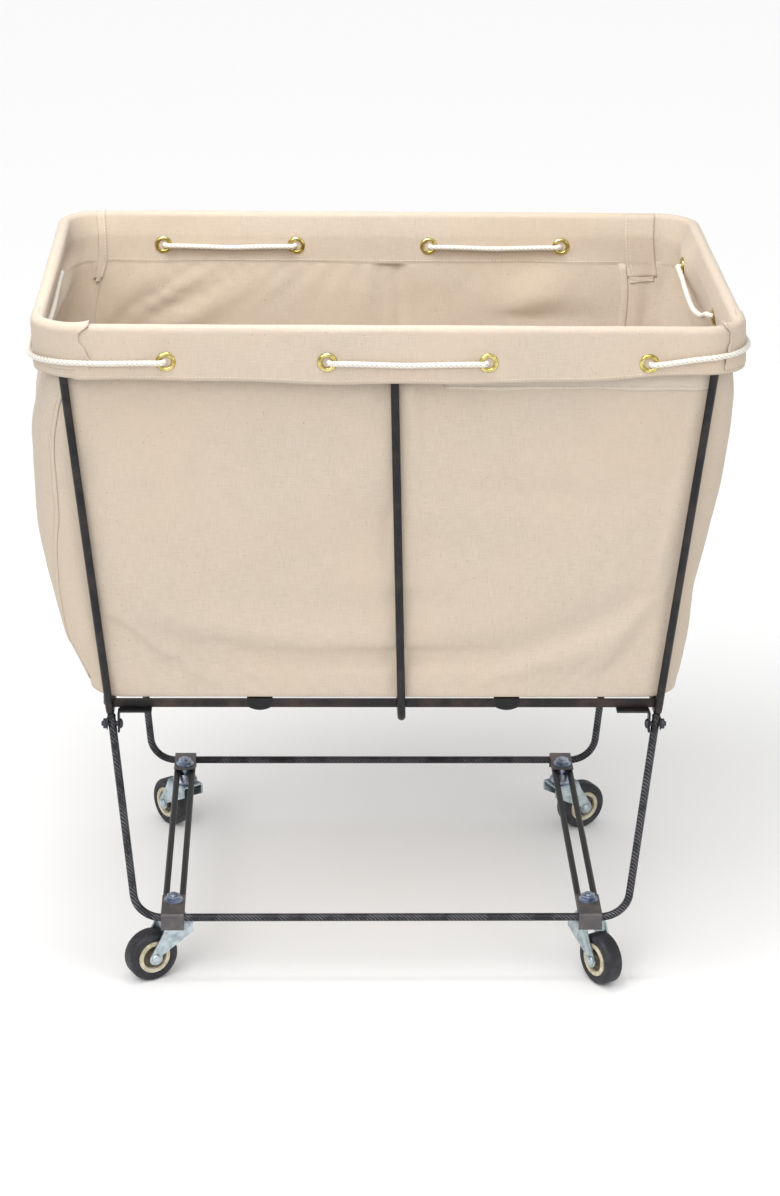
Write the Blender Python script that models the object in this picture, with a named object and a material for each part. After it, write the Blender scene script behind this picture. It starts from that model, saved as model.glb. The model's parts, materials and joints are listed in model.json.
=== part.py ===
"""Elevated laundry cart: a canvas bag in a steel rod frame on four swivel casters.

Metres, +Z up. The origin is on the floor under the middle of the cart.
X runs along the long side, and the front is at -Y.
"""
import math

import bmesh
import bpy
from mathutils import Matrix, Vector

GAP = 0.0003                    # air left between touching pieces
ROD_RADIUS = 0.00475            # 3/8 in rod of the ring, hoops and legs
THIN_ROD_RADIUS = 0.0040        # lighter rod between the two leg loops
ROD_SIDES = 8
BEND_STEPS = 4

RING_HALF_X = 0.393             # top ring, rod centre line
RING_HALF_Y = 0.250
RING_CORNER = 0.045
RING_Z = 0.830

HOOP_TOP_X = 0.369              # corner posts, where they meet the ring
HOOP_FOOT_X = 0.3203            # corner posts, at the base bar
HOOP_Y = 0.233
POST_INSET = 0.0012             # posts sit this far inside the ring's centre line
CORNER_HOOP_BEND = 0.0062
MIDDLE_TOP_X = 0.004            # the middle hoop stands a little askew
MIDDLE_FOOT_X = 0.020
MIDDLE_RUN_Z = 0.352
MIDDLE_BEND = 0.014

BAR_Z = 0.371                   # square bar round the foot of the bag
BAR_HEIGHT = 0.010
BAR_THICKNESS = 0.005
BAR_HALF_X = 0.3265
BAR_CORNER = 0.010

STRAP_X = (-0.146, 0.143)       # webbing straps under the bag
STRAP_WIDTH = 0.030
STRAP_THICKNESS = 0.0015

LEG_FOOT_X = 0.2952             # leg loop: corner where leg and rail would meet
LEG_FOOT_Y = 0.2259
RAIL_Z = 0.0891
LEG_TOP_Z = 0.3555
LEG_BEND = 0.034

PLATE_THICKNESS = 0.003         # bent caster brackets
PLATE_WIDTH = 0.028
PLATE_PAST_BOLT = 0.014
FLANGE_FOOT_Z = 0.0755
CORNER_STRIP_LENGTH = 0.040     # L brackets at the foot corners
CORNER_STRIP_WIDTH = 0.020
CORNER_STRIP_THICKNESS = 0.0025
CORNER_FLANGE_X = 0.3118
CORNER_FLANGE_FOOT_Z = 0.338

BOLT_RADIUS = 0.003
BOLT_Z = 0.3475
BOLT_HEAD = 0.0035
BOLT_NUT = 0.005
BOLT_NUT_RADIUS = 0.006
BOLT_END = 0.002

CASTER_X = 0.2516
CASTER_Y = 0.1958
CROSS_ROD_SPACING = 0.020
WHEEL_RADIUS = 0.03175          # 2 1/2 in wheel
WHEEL_WIDTH = 0.023
TRAIL = 0.0313
HUB_RADIUS = 0.0205
HUB_WIDTH = 0.0245
AXLE_RADIUS = 0.0040
FORK_TOP_Z = 0.0725
FORK_GAP = 0.0265
FORK_WIDTH = 0.0315
FORK_HALF_LENGTH = 0.017
FORK_EYE_RADIUS = 0.0085
FORK_PLATE = 0.0028
STEM_RADIUS = 0.0048
CASTER_CORNERS = {              # side in x, side in y, where the wheel trails (degrees from +X)
    "front_left": (-1, -1, 208),
    "front_right": (1, -1, -60),
    "rear_left": (-1, 1, 126),
    "rear_right": (1, 1, 28),
}

CANVAS = 0.002                  # thickness of the canvas
WALL_OFFSET = -0.010            # outer face of the bag wall, from the ring's centre line
CUFF_OFFSET = ROD_RADIUS + 0.00045
HEM_Z = 0.777
BAG_FOOT_Z = 0.3782
BAG_STATIONS = (                # height, half length, half depth and corner radius of the wall
    (0.770, 0.3830, 0.2400, 0.040),
    (0.735, 0.3940, 0.2345, 0.044),
    (0.690, 0.4020, 0.2305, 0.048),
    (0.625, 0.3980, 0.2295, 0.050),
    (0.563, 0.3870, 0.2290, 0.050),
    (0.500, 0.3730, 0.2285, 0.050),
    (0.440, 0.3600, 0.2280, 0.048),
    (0.402, 0.3475, 0.2277, 0.044),
    (0.387, 0.3430, 0.2272, 0.042),
    (BAG_FOOT_Z, 0.3380, 0.2262, 0.040),
)
CORNER_STEPS = 5

GROMMET_Z = 0.7965
GROMMET_RADIUS = 0.0105
GROMMET_BORE = 0.0060
GROMMET_FLANGE = 0.0010
GROMMET_SIDES = 10
FRONT_PITCH = 0.179
FRONT_SHIFT = 0.020
BACK_PITCH = 0.167
BACK_SHIFT = -0.021
RIGHT_GROMMETS_Y = (-0.070, 0.150)
LEFT_GROMMETS_Y = (-0.150, 0.110)

CORD_RADIUS = 0.0030
CORD_SIDES = 6
CORD_TURN = 0.0035              # bend of the cord over a grommet's lip
CORD_STEP = 0.026               # spacing of the cord's sections
CORD_SAG = (0.004, 0.006, 0.003, 0.006, 0.004, 0.022, 0.003, 0.005, 0.003, 0.005, 0.004, 0.008)

COLOURS = {                     # base colour, roughness, metallic
    "canvas": ((0.78, 0.70, 0.60), 0.90, 0.0),
    "cord": ((0.80, 0.78, 0.74), 0.85, 0.0),
    "brass": ((0.72, 0.50, 0.22), 0.30, 1.0),
    "dark_steel": ((0.07, 0.062, 0.058), 0.50, 0.8),
    "plate_steel": ((0.14, 0.12, 0.11), 0.55, 0.8),
    "webbing": ((0.015, 0.015, 0.016), 0.90, 0.0),
    "zinc": ((0.62, 0.68, 0.70), 0.35, 1.0),
    "tyre": ((0.012, 0.012, 0.014), 0.70, 0.0),
    "hub": ((0.55, 0.47, 0.34), 0.50, 0.0),
}


# ---------------------------------------------------------------- scene and materials

def clear_scene():
    for item in list(bpy.data.objects):
        bpy.data.objects.remove(item, do_unlink=True)


def material(name):
    found = bpy.data.materials.get(name)
    if found:
        return found
    colour, roughness, metallic = COLOURS[name]
    made = bpy.data.materials.new(name)
    made.use_nodes = True
    shader = made.node_tree.nodes["Principled BSDF"]
    shader.inputs["Base Color"].default_value = (*colour, 1.0)
    shader.inputs["Roughness"].default_value = roughness
    shader.inputs["Metallic"].default_value = metallic
    return made


def link(name, mesh):
    made = bpy.data.objects.new(name, mesh)
    bpy.context.scene.collection.objects.link(made)
    return made


def piece(name, mesh, finish, parent=None):
    """One named sub-part with its own material, shaded smooth between sharp edges."""
    if not mesh.materials:
        mesh.materials.append(material(finish))
    mesh.shade_smooth()
    mesh.set_sharp_from_angle(angle=math.radians(32))
    made = link(name, mesh)
    made.parent = parent
    return made


def empty(name, place, turn=0.0, parent=None):
    made = link(name, None)
    made.location = place
    made.rotation_euler = (0, 0, turn)
    made.parent = parent
    return made


# ---------------------------------------------------------------- shapes

def skin(loops, around):
    """A closed mesh over rings of points. around joins the last ring to the first; if not, it is capped."""
    sides = len(loops[0])
    points = [point for loop in loops for point in loop]
    faces = []
    pairs = len(loops) if around else len(loops) - 1
    for row in range(pairs):
        here = row * sides
        there = (row + 1) % len(loops) * sides
        for side in range(sides):
            after = (side + 1) % sides
            faces.append((here + side, here + after, there + after, there + side))
    if not around:
        faces.append(tuple(range(sides)))
        faces.append(tuple(range(len(points) - sides, len(points))))
    mesh = bpy.data.meshes.new("skin")
    mesh.from_pydata(points, [], faces)
    shell = bmesh.new()
    shell.from_mesh(mesh)
    bmesh.ops.recalc_face_normals(shell, faces=shell.faces)
    shell.to_mesh(mesh)
    shell.free()
    return mesh


def rounded_path(corners, radius, steps=BEND_STEPS):
    """A path through the corners, with an arc of the given radius at each inner one."""
    points = [Vector(corners[0])]
    for before, corner, after in zip(corners, corners[1:], corners[2:]):
        corner = Vector(corner)
        back = (Vector(before) - corner).normalized()
        on = (Vector(after) - corner).normalized()
        half = back.angle(on) / 2
        centre = corner + (back + on).normalized() * radius / math.sin(half)
        start = (corner + back * radius / math.tan(half) - centre).normalized()
        end = (corner + on * radius / math.tan(half) - centre).normalized()
        for step in range(steps + 1):
            points.append(centre + radius * start.slerp(end, step / steps))
    points.append(Vector(corners[-1]))
    return points


def tube(points, radius, sides, around=False):
    """A round rod along a path, its section carried along without twist."""
    count = len(points)
    tangents = []
    for index, point in enumerate(points):
        before = points[index - 1] if around or index else point
        after = points[(index + 1) % count] if around or index < count - 1 else point
        tangents.append((after - before).normalized())
    across = tangents[0].orthogonal().normalized()
    loops = []
    for point, tangent in zip(points, tangents):
        across = (across - tangent * across.dot(tangent)).normalized()
        other = tangent.cross(across)
        loops.append([
            point + radius * (math.cos(turn) * across + math.sin(turn) * other)
            for turn in (2 * math.pi * side / sides for side in range(sides))
        ])
    return skin(loops, around)


def turned(profile, sides, around=False, hexed=()):
    """A solid turned about Z from (radius, height) points; those numbered in hexed are hexagonal."""
    loops = []
    for index, (radius, height) in enumerate(profile):
        loop = []
        for side in range(sides):
            turn = 2 * math.pi * side / sides
            reach = radius
            if index in hexed:
                from_flat = (turn + math.pi / 6) % (math.pi / 3) - math.pi / 6
                reach = radius * math.cos(math.pi / 6) / math.cos(from_flat)
            loop.append(Vector((reach * math.cos(turn), reach * math.sin(turn), height)))
        loops.append(loop)
    return skin(loops, around)


def prism(outline, start, end, axis):
    """A flat outline of two coordinates drawn out along X, Y or Z from start to end."""
    loops = []
    for level in (start, end):
        loop = []
        for first, second in outline:
            point = [first, second]
            point.insert("XYZ".index(axis), level)
            loop.append(Vector(point))
        loops.append(loop)
    return skin(loops, False)


def rod_between(start, end, radius, sides=ROD_SIDES):
    return tube([Vector(start), Vector(end)], radius, sides)


def carve(mesh, cutters):
    """The mesh with the cutters taken out of it."""
    body = link("body", mesh)
    tools = []
    for cutter in cutters:
        tool = link("cutter", cutter)
        tool.hide_render = True
        tool.display_type = "WIRE"
        change = body.modifiers.new("cut", "BOOLEAN")
        change.operation = "DIFFERENCE"
        change.object = tool
        tools.append(tool)
    graph = bpy.context.evaluated_depsgraph_get()
    result = bpy.data.meshes.new_from_object(body.evaluated_get(graph))
    for item in [body, *tools]:
        bpy.data.objects.remove(item, do_unlink=True)
    return result


def rounded_rectangle(half_x, half_y, corner, height, steps=CORNER_STEPS):
    """Points of a rounded rectangle, from the middle of the front side anticlockwise."""
    points = []
    for turn, side_x, side_y in ((270, 1, -1), (0, 1, 1), (90, -1, 1), (180, -1, -1)):
        centre = Vector((side_x * (half_x - corner), side_y * (half_y - corner), height))
        for step in range(steps + 1):
            angle = math.radians(turn + 90 * step / steps)
            points.append(centre + corner * Vector((math.cos(angle), math.sin(angle), 0)))
    return points


def ring_loop(offset, height):
    """The top ring's outline, moved outwards by offset."""
    return rounded_rectangle(RING_HALF_X + offset, RING_HALF_Y + offset, RING_CORNER + offset, height)


# ---------------------------------------------------------------- the rod frame

def top_ring():
    piece("top_ring", tube(ring_loop(0, RING_Z), ROD_RADIUS, ROD_SIDES, around=True), "dark_steel")


def post_top(x):
    """Where a post meets the top ring at this x: under the centre line of the rod."""
    past = abs(x) - (RING_HALF_X - RING_CORNER)
    depth = RING_HALF_Y
    if past > 0:
        depth -= RING_CORNER - math.sqrt(RING_CORNER ** 2 - past ** 2)
    return depth - POST_INSET, RING_Z - ROD_RADIUS - GAP


def hoop(name, top_x, foot_x, run_z, bend):
    """A post up the front, a run under the bag and a post up the back, bent from one rod."""
    top_y, top_z = post_top(top_x)
    path = rounded_path([
        (top_x, -top_y, top_z),
        (foot_x, -HOOP_Y, run_z),
        (foot_x, HOOP_Y, run_z),
        (top_x, top_y, top_z),
    ], bend)
    piece(name, tube(path, ROD_RADIUS, ROD_SIDES), "dark_steel")


def hoops():
    under_bar = BAR_Z - BAR_HEIGHT / 2 - GAP - ROD_RADIUS
    hoop("hoop_left", -HOOP_TOP_X, -HOOP_FOOT_X, under_bar, CORNER_HOOP_BEND)
    hoop("hoop_right", HOOP_TOP_X, HOOP_FOOT_X, under_bar, CORNER_HOOP_BEND)
    hoop("hoop_middle", MIDDLE_TOP_X, MIDDLE_FOOT_X, MIDDLE_RUN_Z, MIDDLE_BEND)


def bar_outer_y():
    return HOOP_Y - ROD_RADIUS - GAP


def base_bar():
    """A square bar bent and welded into a ring inside the posts."""
    loops = []
    for inset, height in ((0, 1), (0, -1), (1, -1), (1, 1)):
        grow = -inset * BAR_THICKNESS
        loops.append(rounded_rectangle(
            BAR_HALF_X + BAR_THICKNESS / 2 + grow, bar_outer_y() + grow,
            BAR_CORNER + BAR_THICKNESS / 2 + grow, BAR_Z + height * BAR_HEIGHT / 2, steps=4))
    piece("base_bar", skin(loops, True), "dark_steel")


def support_strap(name, x):
    """Webbing laid across the base bar under the bag, its ends folded round the bar."""
    outer = bar_outer_y()
    low = BAR_Z - BAR_HEIGHT / 2 - GAP
    high = BAR_Z + BAR_HEIGHT / 2 + GAP
    thick = STRAP_THICKNESS
    tuck = outer - BAR_THICKNESS
    inner_line = [(tuck, low), (outer + GAP, low), (outer + GAP, high)]
    face = outer + GAP + thick
    outer_line = [(tuck, low - thick), (face, low - thick), (face, high + thick)]
    outline = [(-y, z) for y, z in outer_line] + [(y, z) for y, z in outer_line[::-1]]
    outline += [(y, z) for y, z in inner_line] + [(-y, z) for y, z in inner_line[::-1]]
    piece(name, prism(outline, x - STRAP_WIDTH / 2, x + STRAP_WIDTH / 2, "X"), "webbing")


def leg_line_x(height):
    """Centre of a leg at this height, from the middle of the cart."""
    return LEG_FOOT_X + (HOOP_FOOT_X - LEG_FOOT_X) * (height - RAIL_Z) / (BAR_Z - RAIL_Z)


def leg_line_y(height):
    return LEG_FOOT_Y + (HOOP_Y - LEG_FOOT_Y) * (height - RAIL_Z) / (BAR_Z - RAIL_Z)


def bolt_hole(side_x, side_y):
    place = side_y * leg_line_y(BOLT_Z)
    return rod_between((side_x * 0.29, place, BOLT_Z), (side_x * 0.34, place, BOLT_Z), BOLT_RADIUS + GAP, 12)


def leg_loop(name, side_y):
    """Two legs and the rail between them, bent from one rod and drilled for the corner bolts."""
    top_x, top_y = leg_line_x(LEG_TOP_Z), side_y * leg_line_y(LEG_TOP_Z)
    foot_y = side_y * LEG_FOOT_Y
    path = rounded_path([
        (-top_x, top_y, LEG_TOP_Z),
        (-LEG_FOOT_X, foot_y, RAIL_Z),
        (LEG_FOOT_X, foot_y, RAIL_Z),
        (top_x, top_y, LEG_TOP_Z),
    ], LEG_BEND, 7)
    mesh = carve(tube(path, ROD_RADIUS, ROD_SIDES), [bolt_hole(-1, side_y), bolt_hole(1, side_y)])
    piece(name, mesh, "dark_steel")


def cross_rods():
    reach = LEG_FOOT_Y - ROD_RADIUS - GAP
    for side, label in ((-1, "left"), (1, "right")):
        for shift, place in ((-1, "inner"), (1, "outer")):
            x = side * (CASTER_X + shift * CROSS_ROD_SPACING / 2)
            mesh = rod_between((x, -reach, RAIL_Z), (x, reach, RAIL_Z), THIN_ROD_RADIUS)
            piece(f"cross_rod_{label}_{place}", mesh, "dark_steel")


def corner_bracket(name, side_x, side_y):
    """An L of strip steel: under the bar, then down the inside of the leg."""
    top = BAR_Z - BAR_HEIGHT / 2 - GAP
    thick = CORNER_STRIP_THICKNESS
    outer = CORNER_FLANGE_X
    inner = outer - CORNER_STRIP_LENGTH
    bend = 0.004
    outline = [
        (inner, top), (outer, top), (outer, CORNER_FLANGE_FOOT_Z), (outer - thick, CORNER_FLANGE_FOOT_Z),
        (outer - thick, top - thick - bend), (outer - thick - bend / 3, top - thick - bend / 3),
        (outer - thick - bend, top - thick), (inner, top - thick),
    ]
    middle = side_y * leg_line_y(BOLT_Z)
    half = CORNER_STRIP_WIDTH / 2
    mesh = prism([(side_x * x, z) for x, z in outline], middle - half, middle + half, "Y")
    piece(name, carve(mesh, [bolt_hole(side_x, side_y)]), "plate_steel")


def leg_bolt(name, side_x, side_y):
    """Bolt and nut in one: head inside the bracket, nut outside the leg."""
    head_end = CORNER_FLANGE_X - CORNER_STRIP_THICKNESS - GAP
    nut_start = leg_line_x(BOLT_Z + BOLT_NUT_RADIUS) + ROD_RADIUS + GAP
    nut_end = nut_start + BOLT_NUT
    profile = [
        (BOLT_NUT_RADIUS * 0.7, head_end - BOLT_HEAD),
        (BOLT_NUT_RADIUS, head_end - BOLT_HEAD * 0.6),
        (BOLT_NUT_RADIUS, head_end),
        (BOLT_RADIUS, head_end),
        (BOLT_RADIUS, nut_start),
        (BOLT_NUT_RADIUS, nut_start),
        (BOLT_NUT_RADIUS, nut_end),
        (BOLT_RADIUS, nut_end),
        (BOLT_RADIUS, nut_end + BOLT_END),
    ]
    mesh = turned(profile, 12, hexed=(5, 6))
    mesh.transform(Matrix.Rotation(side_x * math.pi / 2, 4, "Y"))
    mesh.transform(Matrix.Translation((0, side_y * leg_line_y(BOLT_Z), BOLT_Z)))
    piece(name, mesh, "plate_steel")


def caster_bracket(name, side_x, side_y):
    """Plate over the rail and both cross rods, with a flange down the outside of the rail."""
    under = RAIL_Z + ROD_RADIUS + GAP
    face = LEG_FOOT_Y + ROD_RADIUS + GAP
    thick = PLATE_THICKNESS
    outline = [
        (CASTER_Y - PLATE_PAST_BOLT, under), (face, under), (face, FLANGE_FOOT_Z),
        (face + thick, FLANGE_FOOT_Z), (face + thick, under + thick * 0.4),
        (face + thick * 0.4, under + thick), (CASTER_Y - PLATE_PAST_BOLT, under + thick),
    ]
    middle = side_x * CASTER_X
    half = PLATE_WIDTH / 2
    mesh = prism([(side_y * y, z) for y, z in outline], middle - half, middle + half, "X")
    place = (middle, side_y * CASTER_Y)
    hole = rod_between((*place, under - 0.01), (*place, under + 0.02), STEM_RADIUS + GAP, 12)
    piece(name, carve(mesh, [hole]), "plate_steel")


# ---------------------------------------------------------------- casters

def stem_mesh():
    """Raceway cup, threaded stem and top nut, fixed under and over the bracket."""
    cup_top = RAIL_Z - THIN_ROD_RADIUS - GAP
    nut_foot = RAIL_Z + ROD_RADIUS + 2 * GAP + PLATE_THICKNESS
    nut_top = nut_foot + 0.0065
    profile = [
        (0.0150, FORK_TOP_Z + GAP), (0.0160, FORK_TOP_Z + 0.002), (0.0155, FORK_TOP_Z + 0.005),
        (0.0110, cup_top - 0.0015), (0.0100, cup_top), (STEM_RADIUS, cup_top), (STEM_RADIUS, nut_foot),
        (0.0110, nut_foot), (0.0110, nut_foot + 0.001), (0.0088, nut_foot + 0.001), (0.0088, nut_top),
        (STEM_RADIUS, nut_top), (STEM_RADIUS, nut_top + 0.0025),
    ]
    return turned(profile, 12, hexed=(9, 10))


def fork_mesh():
    """Bent yoke, seen from the side: a flat top tapering to an eye round the axle."""
    outline = [(-FORK_HALF_LENGTH, FORK_TOP_Z - 0.009), (-FORK_HALF_LENGTH, FORK_TOP_Z - 0.0015)]
    outline += [(-FORK_HALF_LENGTH + 0.0015, FORK_TOP_Z), (FORK_HALF_LENGTH - 0.0015, FORK_TOP_Z)]
    outline += [(FORK_HALF_LENGTH, FORK_TOP_Z - 0.0015)]
    for step in range(7):
        angle = math.radians(15 - 215 * step / 6)
        reach, rise = FORK_EYE_RADIUS * math.cos(angle), FORK_EYE_RADIUS * math.sin(angle)
        outline.append((TRAIL + reach, WHEEL_RADIUS + rise))
    block = prism(outline, -FORK_WIDTH / 2, FORK_WIDTH / 2, "Y")
    inside = [(-0.05, 0.0), (-0.05, FORK_TOP_Z - FORK_PLATE), (0.08, FORK_TOP_Z - FORK_PLATE), (0.08, 0.0)]
    slot = prism(inside, -FORK_GAP / 2, FORK_GAP / 2, "Y")
    eye = rod_between((TRAIL, -0.03, WHEEL_RADIUS), (TRAIL, 0.03, WHEEL_RADIUS), AXLE_RADIUS + GAP, 12)
    return carve(block, [slot, eye])


def axle_mesh():
    """Riveted pin, its heads outside the yoke."""
    out = FORK_WIDTH / 2 + GAP
    profile = [
        (0.0030, -out - 0.0025), (0.0058, -out - 0.0015), (0.0062, -out), (AXLE_RADIUS, -out),
        (AXLE_RADIUS, out), (0.0062, out), (0.0058, out + 0.0015), (0.0030, out + 0.0025),
    ]
    mesh = turned(profile, 12)
    mesh.transform(Matrix.Rotation(math.pi / 2, 4, "X"))
    return mesh


def hub_mesh():
    """Wheel centre with a raised rim and a recessed web round the axle."""
    bore = AXLE_RADIUS + GAP
    half = HUB_WIDTH / 2
    profile = [
        (bore, -half), (bore + 0.003, -half), (bore + 0.0032, -half + 0.004),
        (HUB_RADIUS - 0.0042, -half + 0.004), (HUB_RADIUS - 0.0036, -half), (HUB_RADIUS, -half),
    ]
    profile += [(radius, -height) for radius, height in profile[::-1]]
    mesh = turned(profile, 16, around=True)
    mesh.transform(Matrix.Rotation(math.pi / 2, 4, "X"))
    return mesh


def tyre_mesh():
    half = WHEEL_WIDTH / 2
    inner = HUB_RADIUS + GAP
    tread = WHEEL_RADIUS
    profile = [
        (inner, -half + 0.0010), (tread - 0.0065, -half), (tread - 0.0018, -half + 0.0030), (tread, 0),
    ]
    profile += [(radius, -height) for radius, height in profile[-2::-1]]
    mesh = turned(profile, 24, around=True)
    mesh.transform(Matrix.Rotation(math.pi / 2, 4, "X"))
    return mesh


def casters():
    meshes = {"stem": stem_mesh(), "fork": fork_mesh(), "axle": axle_mesh()}
    meshes |= {"hub": hub_mesh(), "tyre": tyre_mesh()}
    for corner, (side_x, side_y, trail_degrees) in CASTER_CORNERS.items():
        base = f"caster_{corner}"
        bolt = (side_x * CASTER_X, side_y * CASTER_Y, 0)
        swivel = empty(f"{base}_swivel", bolt, math.radians(trail_degrees))
        centre = empty(f"{base}_wheel_centre", (TRAIL, 0, WHEEL_RADIUS), parent=swivel)
        stem = piece(f"{base}_stem", meshes["stem"], "zinc")
        stem.location = (side_x * CASTER_X, side_y * CASTER_Y, 0)
        piece(f"{base}_fork", meshes["fork"], "zinc", swivel)
        piece(f"{base}_axle", meshes["axle"], "zinc", centre)
        piece(f"{base}_hub", meshes["hub"], "hub", centre)
        piece(f"{base}_tyre", meshes["tyre"], "tyre", centre)


# ---------------------------------------------------------------- bag, grommets and cord

def ring_length(front_x=None, side_y=None, side=1):
    """Distance along the ring, anticlockwise from the middle of the front, of a point on a straight side."""
    straight_x = RING_HALF_X - RING_CORNER
    straight_y = RING_HALF_Y - RING_CORNER
    arc = RING_CORNER * math.pi / 2
    to_right = straight_x + arc + straight_y
    to_back = to_right + straight_y + arc + straight_x
    to_left = to_back + straight_x + arc + straight_y
    if side_y is None:
        return front_x if side == -1 else to_back - front_x
    return to_right + side_y if side == 1 else to_left - side_y


def ring_point(length, offset, height):
    """The point this far along the ring, moved outwards by offset."""
    straight_x = RING_HALF_X - RING_CORNER
    straight_y = RING_HALF_Y - RING_CORNER
    arc = RING_CORNER * math.pi / 2
    total = 4 * (straight_x + straight_y + arc)
    length %= total
    flip = 1
    if length > total / 2:
        length = total - length
        flip = -1
    reach = RING_CORNER + offset
    if length <= straight_x:
        x, y = length, -RING_HALF_Y - offset
    elif length <= straight_x + arc:
        angle = (length - straight_x) / RING_CORNER - math.pi / 2
        x, y = straight_x + reach * math.cos(angle), -straight_y + reach * math.sin(angle)
    elif length <= straight_x + arc + 2 * straight_y:
        x, y = RING_HALF_X + offset, length - straight_x - arc - straight_y
    elif length <= straight_x + 2 * arc + 2 * straight_y:
        angle = (length - straight_x - arc - 2 * straight_y) / RING_CORNER
        x, y = straight_x + reach * math.cos(angle), straight_y + reach * math.sin(angle)
    else:
        x, y = total / 2 - length, RING_HALF_Y + offset
    return Vector((flip * x, y, height))


def grommet_lengths():
    """Where the twelve grommets are along the ring, anticlockwise from the left side's front one."""
    front = [ring_length(front_x=FRONT_SHIFT + FRONT_PITCH * (index - 1.5), side=-1) for index in range(4)]
    back = [ring_length(front_x=BACK_SHIFT - BACK_PITCH * (index - 1.5), side=1) for index in range(4)]
    right = [ring_length(side_y=y, side=1) for y in RIGHT_GROMMETS_Y]
    left = [ring_length(side_y=y, side=-1) for y in LEFT_GROMMETS_Y]
    total = 2 * ring_length(front_x=0, side=1)
    return [left[0] - total, *front, *right, *back, left[1]]


def bag_mesh():
    """A thin closed shell: inside of the bag, over the ring, down the cuff, and back down the outside."""
    over = CUFF_OFFSET + CANVAS
    turn_down = RING_Z - 0.018
    loops = []
    for height, half_x, half_y, corner in BAG_STATIONS[::-1]:
        lift = CANVAS if height == BAG_FOOT_Z else 0
        loops.append(rounded_rectangle(half_x - CANVAS, half_y - CANVAS, corner - CANVAS, height + lift))
    loops.append(ring_loop(WALL_OFFSET - CANVAS, turn_down))
    for degrees in (180, 135, 90, 45, 0):
        turn = math.radians(degrees)
        loops.append(ring_loop(over * math.cos(turn), RING_Z + over * math.sin(turn)))
    loops.append(ring_loop(over, HEM_Z))
    loops.append(ring_loop(CUFF_OFFSET, HEM_Z))
    for degrees in (0, 45, 90, 135, 180):
        turn = math.radians(degrees)
        loops.append(ring_loop(CUFF_OFFSET * math.cos(turn), RING_Z + CUFF_OFFSET * math.sin(turn)))
    loops.append(ring_loop(WALL_OFFSET, turn_down))
    for height, half_x, half_y, corner in BAG_STATIONS:
        loops.append(rounded_rectangle(half_x, half_y, corner, height))
    holes = []
    for length in grommet_lengths():
        holes.append(rod_between(
            ring_point(length, -0.03, GROMMET_Z), ring_point(length, 0.03, GROMMET_Z),
            GROMMET_BORE + GROMMET_FLANGE + GAP, GROMMET_SIDES))
    return carve(skin(loops, False), holes)


def grommet(name, length):
    """A brass spool through the wall and the cuff, flanged on both faces."""
    outer = CUFF_OFFSET + CANVAS + GAP
    inner = WALL_OFFSET - CANVAS - GAP
    barrel = GROMMET_BORE + GROMMET_FLANGE
    profile = [
        (GROMMET_BORE, inner - GROMMET_FLANGE), (GROMMET_RADIUS, inner - GROMMET_FLANGE),
        (GROMMET_RADIUS, inner),
        (barrel, inner), (barrel, outer), (GROMMET_RADIUS, outer), (GROMMET_RADIUS, outer + GROMMET_FLANGE),
        (GROMMET_BORE, outer + GROMMET_FLANGE),
    ]
    mesh = turned(profile, GROMMET_SIDES, around=True)
    outward = (ring_point(length, 1, 0) - ring_point(length, 0, 0)).normalized()
    made = piece(name, mesh, "brass")
    made.rotation_euler = outward.to_track_quat("Z", "Y").to_euler()
    made.location = ring_point(length, 0, GROMMET_Z)


def cord_path():
    """The cord's closed route: through each grommet in turn, outside and inside by turns."""
    stops = grommet_lengths()
    total = 2 * ring_length(front_x=0, side=1)
    lip_out = CUFF_OFFSET + CANVAS + GAP + GROMMET_FLANGE
    lip_in = WALL_OFFSET - CANVAS - GAP - GROMMET_FLANGE
    points = []
    for index, stop in enumerate(stops):
        side = 1 if index % 2 == 0 else -1
        following = stops[(index + 1) % len(stops)]
        span = (following - stop) % total
        lip = lip_out if side == 1 else lip_in
        for turn in (0, 45, 90):
            angle = math.radians(turn)
            along = GROMMET_BORE - CORD_TURN * math.cos(angle)
            points.append(ring_point(stop + along, lip + side * CORD_TURN * math.sin(angle), GROMMET_Z))
        steps = math.ceil(span / CORD_STEP)
        for step in range(1, steps):
            share = step / steps
            along = GROMMET_BORE + (span - 2 * GROMMET_BORE) * share
            drop = 4 * share * (1 - share) * CORD_SAG[index]
            points.append(ring_point(stop + along, lip + side * CORD_TURN, GROMMET_Z - drop))
        for turn in (90, 45, 0):
            angle = math.radians(turn)
            along = GROMMET_BORE - CORD_TURN * math.cos(angle)
            points.append(ring_point(following - along, lip + side * CORD_TURN * math.sin(angle), GROMMET_Z))
    return points


def build():
    clear_scene()
    top_ring()
    hoops()
    base_bar()
    for label, x in zip(("left", "right"), STRAP_X):
        support_strap(f"support_strap_{label}", x)
    for label, side_y in (("front", -1), ("rear", 1)):
        leg_loop(f"leg_loop_{label}", side_y)
    cross_rods()
    for corner, (side_x, side_y, _) in CASTER_CORNERS.items():
        corner_bracket(f"corner_bracket_{corner}", side_x, side_y)
        leg_bolt(f"leg_bolt_{corner}", side_x, side_y)
        caster_bracket(f"caster_bracket_{corner}", side_x, side_y)
    casters()
    piece("canvas_bag", bag_mesh(), "canvas")
    for index, length in enumerate(grommet_lengths(), 1):
        grommet(f"grommet_{index:02d}", length)
    piece("drawcord", tube(cord_path(), CORD_RADIUS, CORD_SIDES, around=True), "cord")


build()
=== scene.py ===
"""Looks of the elevated laundry cart: canvas, cord, brass, coated rods, zinc casters, light and camera."""
import json
import math

import bmesh
import bpy
import numpy as np
from mathutils import Matrix, Vector, noise


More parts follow.
